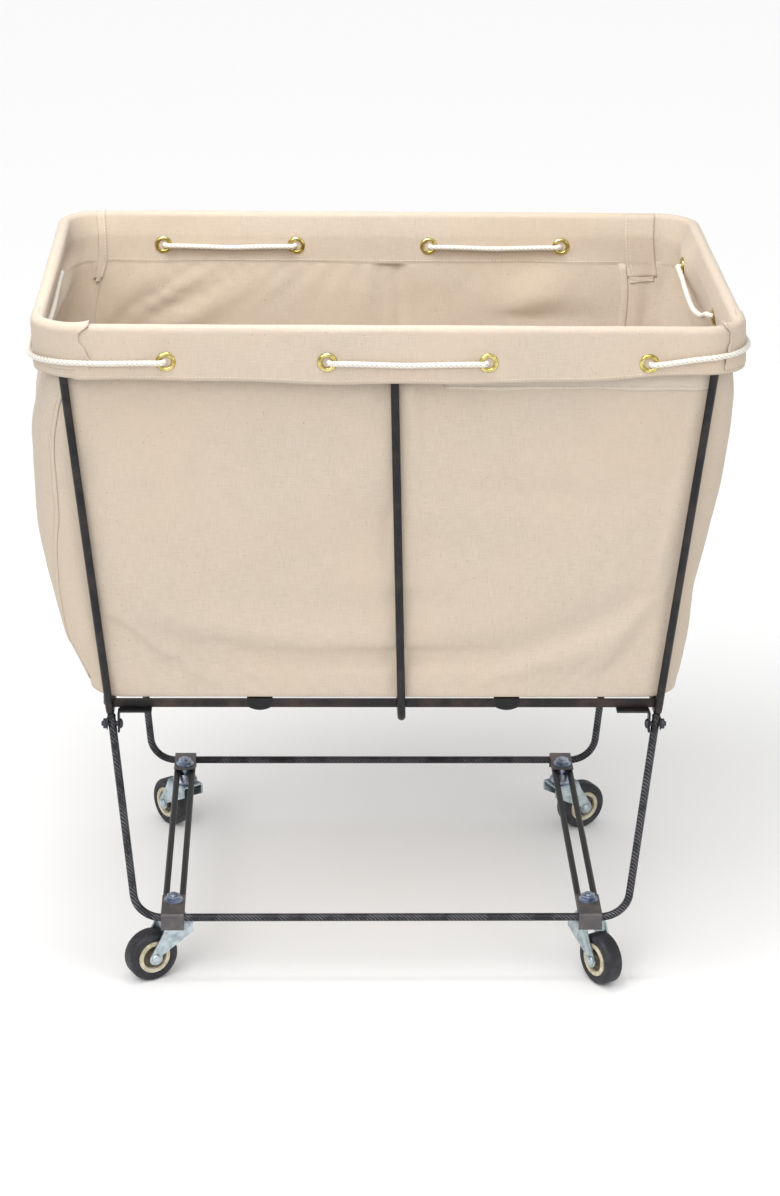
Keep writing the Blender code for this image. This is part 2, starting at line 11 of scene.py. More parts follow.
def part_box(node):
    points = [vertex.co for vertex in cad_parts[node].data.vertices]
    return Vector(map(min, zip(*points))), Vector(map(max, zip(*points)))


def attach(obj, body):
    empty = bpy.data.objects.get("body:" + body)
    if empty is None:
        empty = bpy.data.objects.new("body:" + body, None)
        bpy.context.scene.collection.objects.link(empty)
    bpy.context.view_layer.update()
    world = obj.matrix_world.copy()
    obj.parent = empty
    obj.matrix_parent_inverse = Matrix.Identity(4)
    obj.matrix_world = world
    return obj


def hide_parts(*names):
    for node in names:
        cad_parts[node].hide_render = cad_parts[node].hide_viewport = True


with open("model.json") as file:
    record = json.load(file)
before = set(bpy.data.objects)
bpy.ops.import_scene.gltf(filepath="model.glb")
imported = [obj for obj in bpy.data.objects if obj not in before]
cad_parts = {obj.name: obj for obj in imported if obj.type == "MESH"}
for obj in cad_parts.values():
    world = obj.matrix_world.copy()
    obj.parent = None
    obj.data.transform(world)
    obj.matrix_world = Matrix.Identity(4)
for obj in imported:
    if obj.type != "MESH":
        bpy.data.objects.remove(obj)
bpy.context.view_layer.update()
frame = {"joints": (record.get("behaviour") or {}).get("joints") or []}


def clamp(value):
    return max(0.0, min(1.0, value))


def add_object(name, data):
    made = bpy.data.objects.new(name, data)
    bpy.context.scene.collection.objects.link(made)
    return made


# --- sizes, from the frame

def middle(node):
    low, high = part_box(node)
    return (low + high) / 2


def half(node):
    low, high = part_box(node)
    return (high - low) / 2


ROD = half("top_ring").z                        # rod radius
RING_X = half("top_ring").x - ROD               # ring centre line, half length and half depth
RING_Y = half("top_ring").y - ROD
RING_Z = middle("top_ring").z
RING_CORNER = 0.045                             # radius of its corners
GAP = 0.0003                                    # between rods that are welded together

HOOP_TOP_X = 0.369                              # the outer hoops lean out from foot to top
HOOP_FOOT_X = 0.3203
POST_INSET = 0.0012                             # how far the posts stand inside the ring's centre line
MIDDLE_TOP_X, MIDDLE_FOOT_X = 0.004, 0.020      # the middle hoop leans a little too

BAR_Z = middle("base_bar").z
LEG_Z = 0.0891                                  # centre of the rails and lower rods
LEG_FOOT_X, LEG_FOOT_Y = 0.2952, 0.2259         # where the legs' lines meet the rails
LEG_TOP_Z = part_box("leg_loop_front")[1].z
LEG_BEND = 0.034
HOOP_FOOT_Y = 0.233

CORNERS = {"front_left": (-1, -1), "front_right": (1, -1), "rear_left": (-1, 1), "rear_right": (1, 1)}

CLOTH = 0.0013                                  # thickness of one layer of canvas
CUFF_OFFSET = 0.0066                            # middle of the cuff's cloth, from the ring's centre line
HEM_Z = 0.7765                                  # lower edge of the cuff
FLOOR_Z = 0.3790                                # bottom of the bag
GROMMET_Z = middle("grommet_01").z

LONG_COLUMNS = 112                              # columns of the cloth grid on each part of the outline
SHORT_COLUMNS = 62
CORNER_COLUMNS = 18

WALL_SHAPE = (      # height, left half length, right half length, half depth, corner radius
    (0.8120, 0.3825, 0.3825, 0.2395, 0.036),
    (0.7700, 0.3860, 0.3915, 0.2390, 0.040),
    (0.7450, 0.3990, 0.3985, 0.2350, 0.044),
    (0.7250, 0.4060, 0.4000, 0.2325, 0.046),
    (0.6900, 0.4130, 0.3990, 0.2300, 0.048),
    (0.6250, 0.4110, 0.3925, 0.2290, 0.050),
    (0.5630, 0.4085, 0.3810, 0.2285, 0.050),
    (0.5010, 0.3985, 0.3680, 0.2282, 0.050),
    (0.4390, 0.3840, 0.3640, 0.2278, 0.048),
    (0.4020, 0.3570, 0.3525, 0.2274, 0.044),
    (0.3880, 0.3470, 0.3475, 0.2270, 0.042),
    (0.3800, 0.3420, 0.3420, 0.2262, 0.040),
)
FOOT_Z = 0.3805                                 # lowest row of the wall
SEAM_Z = 0.7745                                 # where the turned-down layer ends, inside
FLOOR_ROWS = 11                                 # rows of the floor, before the wall's
WALL_ROWS = 71                                  # rows of the wall that hang free, from the foot up


# --- materials

class Nodes:
    """A new material, and a thin wrapper to write its node tree in few lines."""

    def __init__(self, name):
        self.made = bpy.data.materials.new(name)
        self.made.use_nodes = True
        self.tree = self.made.node_tree
        self.tree.nodes.clear()

    def add(self, kind, settings=None, **inputs):
        node = self.tree.nodes.new(kind)
        for key, value in (settings or {}).items():
            setattr(node, key, value)
        for key, value in inputs.items():
            self.put(node, key.replace("_", " "), value)
        return node

    def put(self, node, key, value):
        socket = node.inputs[int(key)] if key.isdigit() else node.inputs[key]
        if isinstance(value, bpy.types.NodeSocket):
            self.tree.links.new(value, socket)
        else:
            socket.default_value = value

    def math(self, operation, first, second=0.0):
        node = self.tree.nodes.new("ShaderNodeMath")
        node.operation = operation
        self.put(node, "0", first)
        self.put(node, "1", second)
        return node.outputs[0]

    def mix(self, factor, first, second):
        """A mix of two colours, each an output or red, green and blue from 0 to 255."""
        node = self.tree.nodes.new("ShaderNodeMix")
        node.data_type = "RGBA"
        self.put(node, "0", factor)
        for key, value in (("6", first), ("7", second)):
            self.put(node, key, colour(*value) if isinstance(value, tuple) else value)
        return node.outputs[2]

    def noise(self, vector, scale, detail=4.0, roughness=0.55):
        node = self.add("ShaderNodeTexNoise", Vector=vector, Scale=scale, Detail=detail, Roughness=roughness)
        return node.outputs["Fac"]

    def wave(self, vector, direction, scale, distortion):
        settings = {"bands_direction": direction}
        node = self.add("ShaderNodeTexWave", settings, Vector=vector, Scale=scale, Distortion=distortion)
        return node.outputs["Fac"]

    def scaled(self, factor, gain, base):
        """The factor times gain, plus base."""
        return self.math("ADD", self.math("MULTIPLY", factor, gain), base)

    def stretch(self, vector, x, y):
        node = self.add("ShaderNodeMapping", Vector=vector, Scale=(x, y, 1.0))
        return node.outputs["Vector"]

    def ramp(self, factor, low, high):
        """0 below low, 1 above high."""
        node = self.add("ShaderNodeMapRange", {"interpolation_type": "SMOOTHSTEP"}, Value=factor)
        node.inputs["From Min"].default_value = low
        node.inputs["From Max"].default_value = high
        return node.outputs["Result"]

    def bump(self, height, strength, distance, normal=None):
        node = self.add("ShaderNodeBump", Height=height, Strength=strength, Distance=distance)
        if normal is not None:
            self.put(node, "Normal", normal)
        return node.outputs["Normal"]

    def shader(self, **inputs):
        node = self.tree.nodes.new("ShaderNodeBsdfPrincipled")
        for key, value in inputs.items():
            self.put(node, key.replace("_", " "), value)
        out = self.tree.nodes.new("ShaderNodeOutputMaterial")
        self.tree.links.new(node.outputs[0], out.inputs[0])
        return node

    def object_coordinates(self):
        return self.add("ShaderNodeTexCoord").outputs["Object"]

    def cloth_coordinates(self):
        return self.add("ShaderNodeTexCoord").outputs["UV"]


def colour(red, green, blue):
    """An sRGB colour, 0 to 255, as linear RGBA."""
    linear = []
    for value in (red, green, blue):
        value /= 255
        linear.append(value / 12.92 if value <= 0.04045 else ((value + 0.055) / 1.055) ** 2.4)
    return (*linear, 1.0)


FLECK = (128, 108, 84)


def canvas_material(name, pale, dark, warm):
    """Undyed cotton duck: a fine even weave with slubs, soft stains and small dark flecks."""
    n = Nodes(name)
    cloth = n.cloth_coordinates()
    warp = n.noise(n.stretch(cloth, 1300, 60), 1.0, 3.0)
    weft = n.noise(n.stretch(cloth, 55, 1150), 1.0, 3.0)
    threads = n.math("MULTIPLY", n.math("ADD", warp, weft), 0.5)
    broad = n.noise(n.stretch(cloth, 4.5, 3.6), 1.0, 5.0, 0.6)
    patches = n.noise(n.stretch(cloth, 26, 21), 1.0, 4.0, 0.6)
    base = n.mix(n.ramp(threads, 0.30, 0.70), dark, pale)
    base = n.mix(n.math("MULTIPLY", n.ramp(broad, 0.35, 0.68), 0.45), base, warm)
    base = n.mix(n.math("MULTIPLY", n.ramp(patches, 0.48, 0.75), 0.20), base, dark)
    fleck_field = n.noise(n.stretch(cloth, 430, 330), 1.0, 1.0, 0.3)
    fleck_zone = n.noise(n.stretch(cloth, 21, 17), 1.0, 2.0)
    flecks = n.math("MULTIPLY", n.ramp(fleck_field, 0.715, 0.77), n.ramp(fleck_zone, 0.42, 0.60))
    base = n.mix(n.math("MULTIPLY", flecks, 0.55), base, FLECK)
    weave = n.math("MULTIPLY", n.wave(cloth, "X", 210.0, 0.6), n.wave(cloth, "Y", 190.0, 0.6))
    relief = n.math("ADD", n.math("MULTIPLY", weave, 0.4), threads)
    normal = n.bump(relief, 0.22, 0.0006)
    normal = n.bump(patches, 0.25, 0.0030, normal)
    rough = n.scaled(threads, 0.14, 0.82)
    node = n.shader(Base_Color=base, Roughness=rough, Normal=normal)
    node.inputs["Sheen Weight"].default_value = 0.12
    node.inputs["Sheen Roughness"].default_value = 0.5
    node.inputs["Specular IOR Level"].default_value = 0.20
    return n.made


def thread_material(name, pale, dark, braided=False):
    """Cotton yarn: fine fibres and a little soil; on the cord, painted shade darkens the hollows between the
    strands.
    """
    n = Nodes(name)
    place = n.object_coordinates()
    grain = n.noise(place, 1400.0, 3.0)
    soil = n.noise(place, 26.0, 4.0)
    base = n.mix(n.ramp(grain, 0.35, 0.65), dark, pale)
    base = n.mix(n.math("MULTIPLY", n.ramp(soil, 0.5, 0.75), 0.3), base, dark)
    if braided:
        crown = n.add("ShaderNodeAttribute", {"attribute_name": "crown"}).outputs["Fac"]
        # painted shade: where the cord's strands dip (low crown) the colour is darkened towards (168, 158,
        # 140)
        groove_shade = n.math("SUBTRACT", 1.0, n.ramp(crown, 0.15, 0.90))
        base = n.mix(n.math("MULTIPLY", groove_shade, 0.55), base, (168, 158, 140))
    node = n.shader(Base_Color=base, Roughness=0.86, Normal=n.bump(grain, 0.35, 0.0004))
    node.inputs["Sheen Weight"].default_value = 0.2
    return n.made


def cloudy_material(name, pale, dark, scale, detail, rough, relief, metal=0.0, spangle=0.0, fine=0.0):
    """Soft clouds of a darker tint that also change the roughness; zinc has a spangle, brass a fine grain."""
    n = Nodes(name)
    place = n.object_coordinates()
    cloud = n.noise(place, scale, detail)
    base = n.mix(n.ramp(cloud, 0.35, 0.7), pale, dark)
    if spangle:
        cells = n.add("ShaderNodeTexVoronoi", Vector=place, Scale=260.0).outputs["Color"]
        base = n.mix(spangle, base, cells)
    grain = n.noise(place, fine, 2.0) if fine else cloud
    roughness = n.scaled(cloud, *rough)
    n.shader(Base_Color=base, Metallic=metal, Roughness=roughness, Normal=n.bump(grain, *relief))
    return n.made


def rod_material(name, dark, brown, ticks=0.0):
    """Black mill scale, brown showing through, rubbed light specks and, on drawn rod, faint tick marks."""
    n = Nodes(name)
    place = n.object_coordinates()
    scale = n.noise(place, 34.0, 6.0, 0.65)
    speck = n.noise(place, 620.0, 3.0)
    base = n.mix(n.ramp(scale, 0.42, 0.70), dark, brown)
    base = n.mix(n.math("MULTIPLY", n.ramp(speck, 0.60, 0.74), 0.35), base, (96, 96, 100))
    if ticks:
        wave = n.wave(place, "DIAGONAL", 128.0, 1.5)
        lines = n.math("MULTIPLY", n.ramp(wave, 0.62, 0.95), n.ramp(scale, 0.36, 0.56))
        base = n.mix(n.math("MULTIPLY", lines, ticks), base, (104, 106, 116))
    relief = n.math("ADD", n.math("MULTIPLY", speck, 0.6), scale)
    rough = n.scaled(scale, 0.30, 0.26)
    n.shader(Base_Color=base, Metallic=0.45, Roughness=rough, Normal=n.bump(relief, 0.25, 0.0006))
    return n.made


def tyre_material():
    n = Nodes("tyre")
    place = n.object_coordinates()
    dust = n.noise(place, 70.0, 5.0, 0.65)
    grain = n.noise(place, 1500.0, 2.0)
    base = n.mix(n.ramp(dust, 0.42, 0.72), (22, 23, 27), (54, 55, 62))
    rough = n.scaled(dust, 0.25, 0.42)
    n.shader(Base_Color=base, Roughness=rough, Normal=n.bump(n.math("ADD", grain, dust), 0.22, 0.0004))
    return n.made


def webbing_material():
    n = Nodes("webbing")
    place = n.object_coordinates()
    weave = n.math("MULTIPLY", n.wave(place, "Y", 150.0, 0.4), n.wave(place, "X", 110.0, 0.4))
    base = n.mix(weave, (18, 18, 19), (48, 48, 50))
    n.shader(Base_Color=base, Roughness=0.85, Normal=n.bump(weave, 0.5, 0.0005))
    return n.made


ZINC = dict(scale=90.0, detail=4.0, rough=(0.22, 0.20), relief=(0.10, 0.0008), metal=0.92, spangle=0.05)
BRASS = dict(scale=160.0, detail=4.0, rough=(0.18, 0.10), relief=(0.10, 0.0002), metal=1.0, fine=1900.0)
PLASTIC = dict(scale=120.0, detail=5.0, rough=(0.20, 0.38), relief=(0.12, 0.0005))
MATERIALS = {
    "canvas": canvas_material("canvas", (200, 187, 171), (184, 170, 154), (201, 182, 160)),
    "selvedge": canvas_material("selvedge", (209, 198, 184), (192, 180, 166), (208, 192, 174)),
    "thread": thread_material("thread", (236, 228, 212), (204, 190, 168)),
    # the cord's colour has painted shade in the hollows between its strands
    "cord": thread_material("cord", (252, 250, 244), (228, 222, 210), braided=True),
    "brass": cloudy_material("brass", (228, 214, 142), (176, 154, 78), **BRASS),
    "rod": rod_material("rod", (26, 26, 29), (50, 45, 42)),
    "rail": rod_material("rail", (26, 26, 30), (48, 44, 42), ticks=0.9),
    "bar": rod_material("bar", (28, 25, 25), (62, 50, 45)),
    "plate": rod_material("plate", (84, 81, 84), (112, 102, 97)),
    "bracket": rod_material("bracket", (24, 24, 28), (44, 41, 40)),
    "nut": rod_material("nut", (48, 50, 60), (74, 76, 84)),
    "zinc": cloudy_material("zinc", (196, 208, 214), (150, 166, 172), **ZINC),
    "zinc_nut": cloudy_material("zinc_nut", (182, 192, 208), (122, 134, 154), **ZINC),
    "tyre": tyre_material(),
    "hub": cloudy_material("hub", (206, 199, 176), (170, 160, 132), **PLASTIC),
    "web": cloudy_material("web", (92, 80, 62), (56, 48, 38), **PLASTIC),
    "webbing": webbing_material(),
}


# --- mesh helpers

def make(name, points, faces, finish, body="frame", smooth=40, node=None):
    """A piece from points and faces, riding on a body and, if given, replacing a CAD node."""
    mesh = bpy.data.meshes.new(name)
    mesh.from_pydata([tuple(point) for point in points], [], faces)
    mesh.materials.append(MATERIALS[finish])
    shell = bmesh.new()
    shell.from_mesh(mesh)
    bmesh.ops.recalc_face_normals(shell, faces=shell.faces)
    shell.to_mesh(mesh)
    shell.free()
    mesh.shade_smooth()
    mesh.set_sharp_from_angle(angle=math.radians(smooth))
    piece = add_object(name, mesh)
    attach(piece, body)
    if node:
        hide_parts(node)
    return piece


def loops_to_faces(count, sides, around):
    faces = []
    for row in range(count if around else count - 1):
        here, there = row * sides, (row + 1) % count * sides
        for side in range(sides):
            after = (side + 1) % sides
            faces.append((here + side, here + after, there + after, there + side))
    if not around:
        faces.append(tuple(range(sides)))
        faces.append(tuple(range((count - 1) * sides, count * sides)))
    return faces


def rounded_path(corners, radius, steps=14):
    """A path through the corners, with an arc of the given radius at each inner one."""
    points = [Vector(corners[0])]
    for before, corner, after in zip(corners, corners[1:], corners[2:]):
        corner = Vector(corner)
        back = (Vector(before) - corner).normalized()
        on = (Vector(after) - corner).normalized()
        half_angle = back.angle(on) / 2
        centre = corner + (back + on).normalized() * radius / math.sin(half_angle)
        start = (corner + back * radius / math.tan(half_angle) - centre).normalized()
        end = (corner + on * radius / math.tan(half_angle) - centre).normalized()
        for step in range(steps + 1):
            points.append(centre + radius * start.slerp(end, step / steps))
    points.append(Vector(corners[-1]))
    return points


def sections(points, around=False):
    """For each point of a path: the point and two directions across it, carried along without twist."""
    count = len(points)
    frames = []
    across = None
    for index, point in enumerate(points):
        before = points[index - 1] if around or index else point
        after = points[(index + 1) % count] if around or index < count - 1 else point
        tangent = (after - before).normalized()
        if across is None:
            across = tangent.orthogonal().normalized()
        across = (across - tangent * across.dot(tangent)).normalized()
        frames.append((point, across.copy(), tangent.cross(across)))
    return frames


def tube_mesh(points, radius, sides=20, around=False):
    """Points and faces of a round rod along a path."""
    rings = []
    for point, across, other in sections(points, around):
        for side in range(sides):
            turn = 2 * math.pi * side / sides
            rings.append(point + radius * (math.cos(turn) * across + math.sin(turn) * other))
    return rings, loops_to_faces(len(points), sides, around)


def turned_mesh(profile, sides, around=False, hexed=()):
    points = []
    for index, (radius, height) in enumerate(profile):
        for side in range(sides):
            turn = 2 * math.pi * side / sides
            reach = radius
            if index in hexed:
                from_flat = (turn + math.pi / 6) % (math.pi / 3) - math.pi / 6
                reach = radius * math.cos(math.pi / 6) / math.cos(from_flat)
            points.append(Vector((reach * math.cos(turn), reach * math.sin(turn), height)))
    return points, loops_to_faces(len(profile), sides, around)


def mirrored(profile):
    """A profile followed by its mirror image across height 0."""
    return profile + [(radius, -height) for radius, height in profile[::-1]]


def placed(points, matrix):
    return [matrix @ point for point in points]


def arc(centre_r, centre_z, radius, start, end, steps):
    """Profile points on an arc, angles in degrees."""
    angles = [math.radians(start + (end - start) * step / steps) for step in range(steps + 1)]
    return [(centre_r + radius * math.cos(angle), centre_z + radius * math.sin(angle)) for angle in angles]


def soften(piece, width, segments=2):
    """Rounds a piece's sharp edges."""
    change = piece.modifiers.new("edges", "BEVEL")
    change.width = width
    change.segments = segments
    change.limit_method = "ANGLE"
    change.angle_limit = math.radians(35)
    change.harden_normals = False
    return piece


# --- outline of the ring

STRAIGHT_X = RING_X - RING_CORNER
STRAIGHT_Y = RING_Y - RING_CORNER
QUARTER = RING_CORNER * math.pi / 2
TO_RIGHT = STRAIGHT_X + QUARTER + STRAIGHT_Y
TO_BACK = TO_RIGHT + STRAIGHT_Y + QUARTER + STRAIGHT_X
AROUND = 2 * TO_BACK


def along(side, place):
    """Distance round the ring, anticlockwise from the middle of the front, of a place on one side."""
    if side == "front":
        return place
    if side == "right":
        return TO_RIGHT + place
    if side == "back":
        return TO_BACK - place
    return TO_BACK + STRAIGHT_X + QUARTER + STRAIGHT_Y - place


def ring_point(length, offset, height):
    """The point this far round the ring, moved outwards by offset."""
    length %= AROUND
    flip = 1
    if length > AROUND / 2:
        length = AROUND - length
        flip = -1
    reach = RING_CORNER + offset
    if length <= STRAIGHT_X:
        x, y = length, -RING_Y - offset
    elif length <= STRAIGHT_X + QUARTER:
        angle = (length - STRAIGHT_X) / RING_CORNER - math.pi / 2
        x, y = STRAIGHT_X + reach * math.cos(angle), -STRAIGHT_Y + reach * math.sin(angle)
    elif length <= TO_RIGHT + STRAIGHT_Y:
        x, y = RING_X + offset, length - TO_RIGHT
    elif length <= TO_RIGHT + STRAIGHT_Y + QUARTER:
        angle = (length - TO_RIGHT - STRAIGHT_Y) / RING_CORNER
        x, y = STRAIGHT_X + reach * math.cos(angle), STRAIGHT_Y + reach * math.sin(angle)
    else:
        x, y = AROUND / 2 - length, RING_Y + offset
    return Vector((flip * x, y, height))


def outward(mark):
    return (ring_point(mark, 1, 0) - ring_point(mark, 0, 0)).normalized()


def grommet_stops():
    """Distance round the ring of each grommet, read from the CAD nodes."""
    stops = []
    for index in range(1, 13):
        place = middle(f"grommet_{index:02d}")
        if abs(place.y) > RING_Y - 0.03:
            side, coordinate = ("front", place.x) if place.y < 0 else ("back", place.x)
        else:
            side, coordinate = ("right", place.y) if place.x > 0 else ("left", place.y)
        stops.append(along(side, coordinate) % AROUND)
    return stops


STOPS = grommet_stops()


# --- the bag

def columns():
    """Distance round the ring of each column of the cloth grid."""
    marks = []
    start = -STRAIGHT_X
    corner = (QUARTER, CORNER_COLUMNS)
    half_way = ((2 * STRAIGHT_X, LONG_COLUMNS), corner, (2 * STRAIGHT_Y, SHORT_COLUMNS), corner)
    for length, count in 2 * half_way:
        marks.extend(start + length * step / count for step in range(count))
        start += length
    return np.array(marks)


def outline(marks, left, right, half_y, corner):
    """Places and outward directions of a rounded rectangle at the ring's marks, as x, y, nx, ny."""
    out = np.zeros((len(marks), 4))
    for index, mark in enumerate(marks):
        on_ring = ring_point(mark, 0, 0)
        core_x = min(max(on_ring.x, -STRAIGHT_X), STRAIGHT_X)
        core_y = min(max(on_ring.y, -STRAIGHT_Y), STRAIGHT_Y)
        direction = Vector((on_ring.x - core_x, on_ring.y - core_y)).normalized()
        half_x = right if core_x > 0 else left
        straight = (half_x - corner) / STRAIGHT_X
        x = core_x * straight + corner * direction.x
        y = core_y * (half_y - corner) / STRAIGHT_Y + corner * direction.y
        out[index] = (x, y, direction.x, direction.y)
    return out


FOLDS = (   # side, start place and height, end place and height, half width, depth (outwards positive)
    ("left", -0.165, 0.760, -0.150, 0.400, 0.020, 0.0045),
    ("left", -0.115, 0.740, -0.120, 0.450, 0.022, -0.0035),
    ("left", 0.040, 0.760, 0.000, 0.420, 0.045, 0.0040),
    ("left", 0.150, 0.750, 0.120, 0.430, 0.030, -0.0045),
    ("left", -0.060, 0.560, 0.080, 0.500, 0.020, 0.0022),
    ("right", -0.180, 0.665, -0.020, 0.620, 0.010, -0.0040),
    ("right", -0.190, 0.640, -0.060, 0.600, 0.010, 0.0035),
    ("right", -0.185, 0.560, -0.030, 0.505, 0.012, -0.0040),
    ("right", -0.190, 0.530, -0.050, 0.480, 0.012, 0.0030),
    ("right", 0.060, 0.700, 0.150, 0.450, 0.028, 0.0040),
    ("right", -0.100, 0.760, -0.090, 0.430, 0.030, 0.0030),
    ("back", -0.300, 0.765, -0.170, 0.640, 0.022, -0.0075),
    ("back", -0.230, 0.790, -0.330, 0.820, 0.014, -0.0022),
    ("back", 0.290, 0.800, 0.150, 0.700, 0.026, -0.0085),
    ("back", 0.130, 0.760, 0.160, 0.560, 0.030, 0.0050),
    ("back", -0.060, 0.740, -0.120, 0.480, 0.040, 0.0035),
    ("back", 0.040, 0.700, 0.020, 0.520, 0.030, -0.0030),
    ("front", -0.290, 0.740, -0.240, 0.520, 0.030, -0.0020),
    ("front", 0.300, 0.750, 0.260, 0.500, 0.030, -0.0020),
    ("front", -0.180, 0.700, -0.120, 0.440, 0.040, 0.0016),
    ("front", 0.120, 0.700, 0.180, 0.420, 0.040, 0.0016),
)


def fold_depth(mark, height):
    """How far the folds push the cloth outwards at a place on the wall."""
    total = 0.0
    for side, place_a, height_a, place_b, height_b, width, depth in FOLDS:
        start = Vector((along(side, place_a), height_a))
        step = Vector((along(side, place_b), height_b)) - start
        offset = Vector(((mark - start.x + AROUND / 2) % AROUND - AROUND / 2, height - start.y))
        share = clamp(offset.dot(step) / step.length_squared)
        distance = (offset - share * step).length
        if distance < 3 * width:
            total += depth * math.exp(-(distance / width) ** 2) * math.sin(math.pi * (0.12 + 0.76 * share))
    return total


def ripple(mark, height):
    """Slow unevenness of the cloth, with a finer crumple on top."""
    turn = 2 * math.pi * mark / AROUND
    place = Vector((math.cos(turn) * 2.2, math.sin(turn) * 2.2, height * 6.0))
    fine = Vector((math.cos(turn) * 9.0, math.sin(turn) * 9.0, height * 24.0))
    return 0.0016 * noise.noise(place) + 0.0005 * noise.noise(fine + Vector((7.3, 1.1, 4.2)))


def pucker(mark, height):
    """Cloth drawn in round each grommet."""
    total = 0.0
    for stop in STOPS:
        gap = (mark - stop + AROUND / 2) % AROUND - AROUND / 2
        if abs(gap) < 0.06:
            distance = math.hypot(gap, height - GROMMET_Z)
            total += math.exp(-(distance / 0.017) ** 2)
    return total


def end_pull(mark, height):
    """The left end lies against its cuff under the ring; the right end hangs in at its rear grommet."""
    near_top = math.exp(-((height - 0.792) / 0.020) ** 2)
    left = (mark - along("left", 0)) % AROUND
    left = min(left, AROUND - left)
    out = 0.0148 * clamp((STRAIGHT_Y + 0.02 - left) / 0.05) * near_top
    right = (mark - along("right", 0.165)) % AROUND
    right = min(right, AROUND - right)
    return out - 0.0125 * math.exp(-(right / 0.060) ** 2) * math.exp(-((height - 0.790) / 0.028) ** 2)


def sewn_layer(mark, height):
    """1 where the turned-down layer is sewn on, inside the long sides and ends, and 0 below its seam."""
    edge = SEAM_Z + 0.0010 * math.sin(mark * 19.0) + 0.0006 * math.sin(mark * 47.0 + 2.0)
    return clamp((height - edge) / 0.0016)


def wall_row(marks, height):
    """The bag's outline at a height, with its folds, tucks and bulges."""
    shape = np.array(WALL_SHAPE)[::-1]
    left, right, half_y, corner = (
        sum(weight * np.interp(height + shift, shape[:, 0], shape[:, index])
            for shift, weight in ((-0.014, 0.2), (-0.007, 0.2), (0.0, 0.2), (0.007, 0.2), (0.014, 0.2)))
        for index in (1, 2, 3, 4)
    )
    row = outline(marks, left, right, half_y, corner)
    lift = clamp((0.790 - height) / 0.06) * clamp((height - FLOOR_Z) / 0.05)
    points = []
    for mark, (x, y, out_x, out_y) in zip(marks, row):
        edge = min(1.0, abs(y) / (half_y - corner))
        bulge = (0.012 if x < 0 else 0.007) * lift * (edge ** 2) * abs(out_x)
        shift = lift * (fold_depth(mark, height) + ripple(mark, height)) - bulge
        shift += 0.3 * ripple(mark, height) - 0.0006 * pucker(mark, height)
        shift -= 0.0007 * sewn_layer(mark, height)
        shift += end_pull(mark, height)
        if abs(y) > half_y - 0.004:
            shift = min(shift, 0.0012)
        points.append((x + out_x * shift, y + out_y * shift, height))
    return points


def hem_height(mark):
    """The hem's lower edge: a little lower in the middle of the long sides, rising to the right in front."""
    place = ring_point(mark, 0, 0)
    low = 0.0045 * max(0.0, 1 - (place.x / 0.30) ** 2) if abs(place.y) > RING_Y - 0.01 else 0.0
    if place.y < 0:
        low -= 0.0065 * clamp((place.x - 0.14) / 0.22)
    wave = 0.0009 * math.sin(mark * 23.0) + 0.0007 * math.sin(mark * 41.0 + 1.3)
    return HEM_Z - low + wave


def cuff_shift(mark, height):
    """How far the cuff stands off its plain line."""
    below = max(0.0, RING_Z - height) / (RING_Z - HEM_Z)
    wave = math.sin(mark * 17.0 + 0.8) + 0.6 * math.sin(mark * 31.0)
    corner = (mark - (AROUND - STRAIGHT_X - QUARTER / 2) + AROUND / 2) % AROUND - AROUND / 2
    pulled = 0.0075 * math.exp(-(corner / 0.034) ** 2) * below
    waved = below * (0.0011 * wave + 0.0014) + 0.6 * ripple(mark, height) * below
    return waved - 0.0010 * pucker(mark, height) - pulled


def cuff_row(marks, offset, share):
    """A row of the cuff: share runs from 0 at the ring to 1 at the hem."""
    points = []
    for mark in marks:
        height = RING_Z + (hem_height(mark) - RING_Z) * share
        points.append(tuple(ring_point(mark, offset + cuff_shift(mark, height), height)))
    return points


WALL_HEIGHTS = np.concatenate([
    np.linspace(FOOT_Z, 0.40, 5), np.linspace(0.406, 0.768, 60),
    np.linspace(0.7715, 0.7790, 6), np.linspace(0.783, 0.811, 6)])
WALL = {}


def bag_rows(marks):
    """Rows of the cloth from the middle of the floor, up the wall, over the ring and down the cuff."""
    rows = []
    foot = np.array(wall_row(marks, FOOT_Z))
    for share in (0.02, 0.12, 0.25, 0.4, 0.55, 0.7, 0.82, 0.9, 0.955, 0.985, 0.996):
        row = foot.copy()
        row[:, :2] *= share
        row[:, 2] = FLOOR_Z + 0.0004 * share ** 8
        rows.append([tuple(point) for point in row])
    for height in WALL_HEIGHTS:
        rows.append(wall_row(marks, height))
    top = CUFF_OFFSET
    for degrees in range(180, -1, -15):
        turn = math.radians(degrees)
        row = []
        for mark in marks:
            swell = 0.0006 * noise.noise(Vector((mark * 9.0, degrees * 0.02, 3.0)))
            reach = top + swell
            row.append(tuple(ring_point(mark, reach * math.cos(turn), RING_Z + reach * math.sin(turn))))
        rows.append(row)
    for share in np.linspace(0.06, 1.0, 15):
        rows.append(cuff_row(marks, CUFF_OFFSET, share))
    return rows


HOLD_WALL = 0.16                                # how firmly the loose wall, ends and corners keep their shape
HOLD_END = 0.6                                  # (0 hangs free, 1 doesn't move)
HOLD_CORNER = 0.75


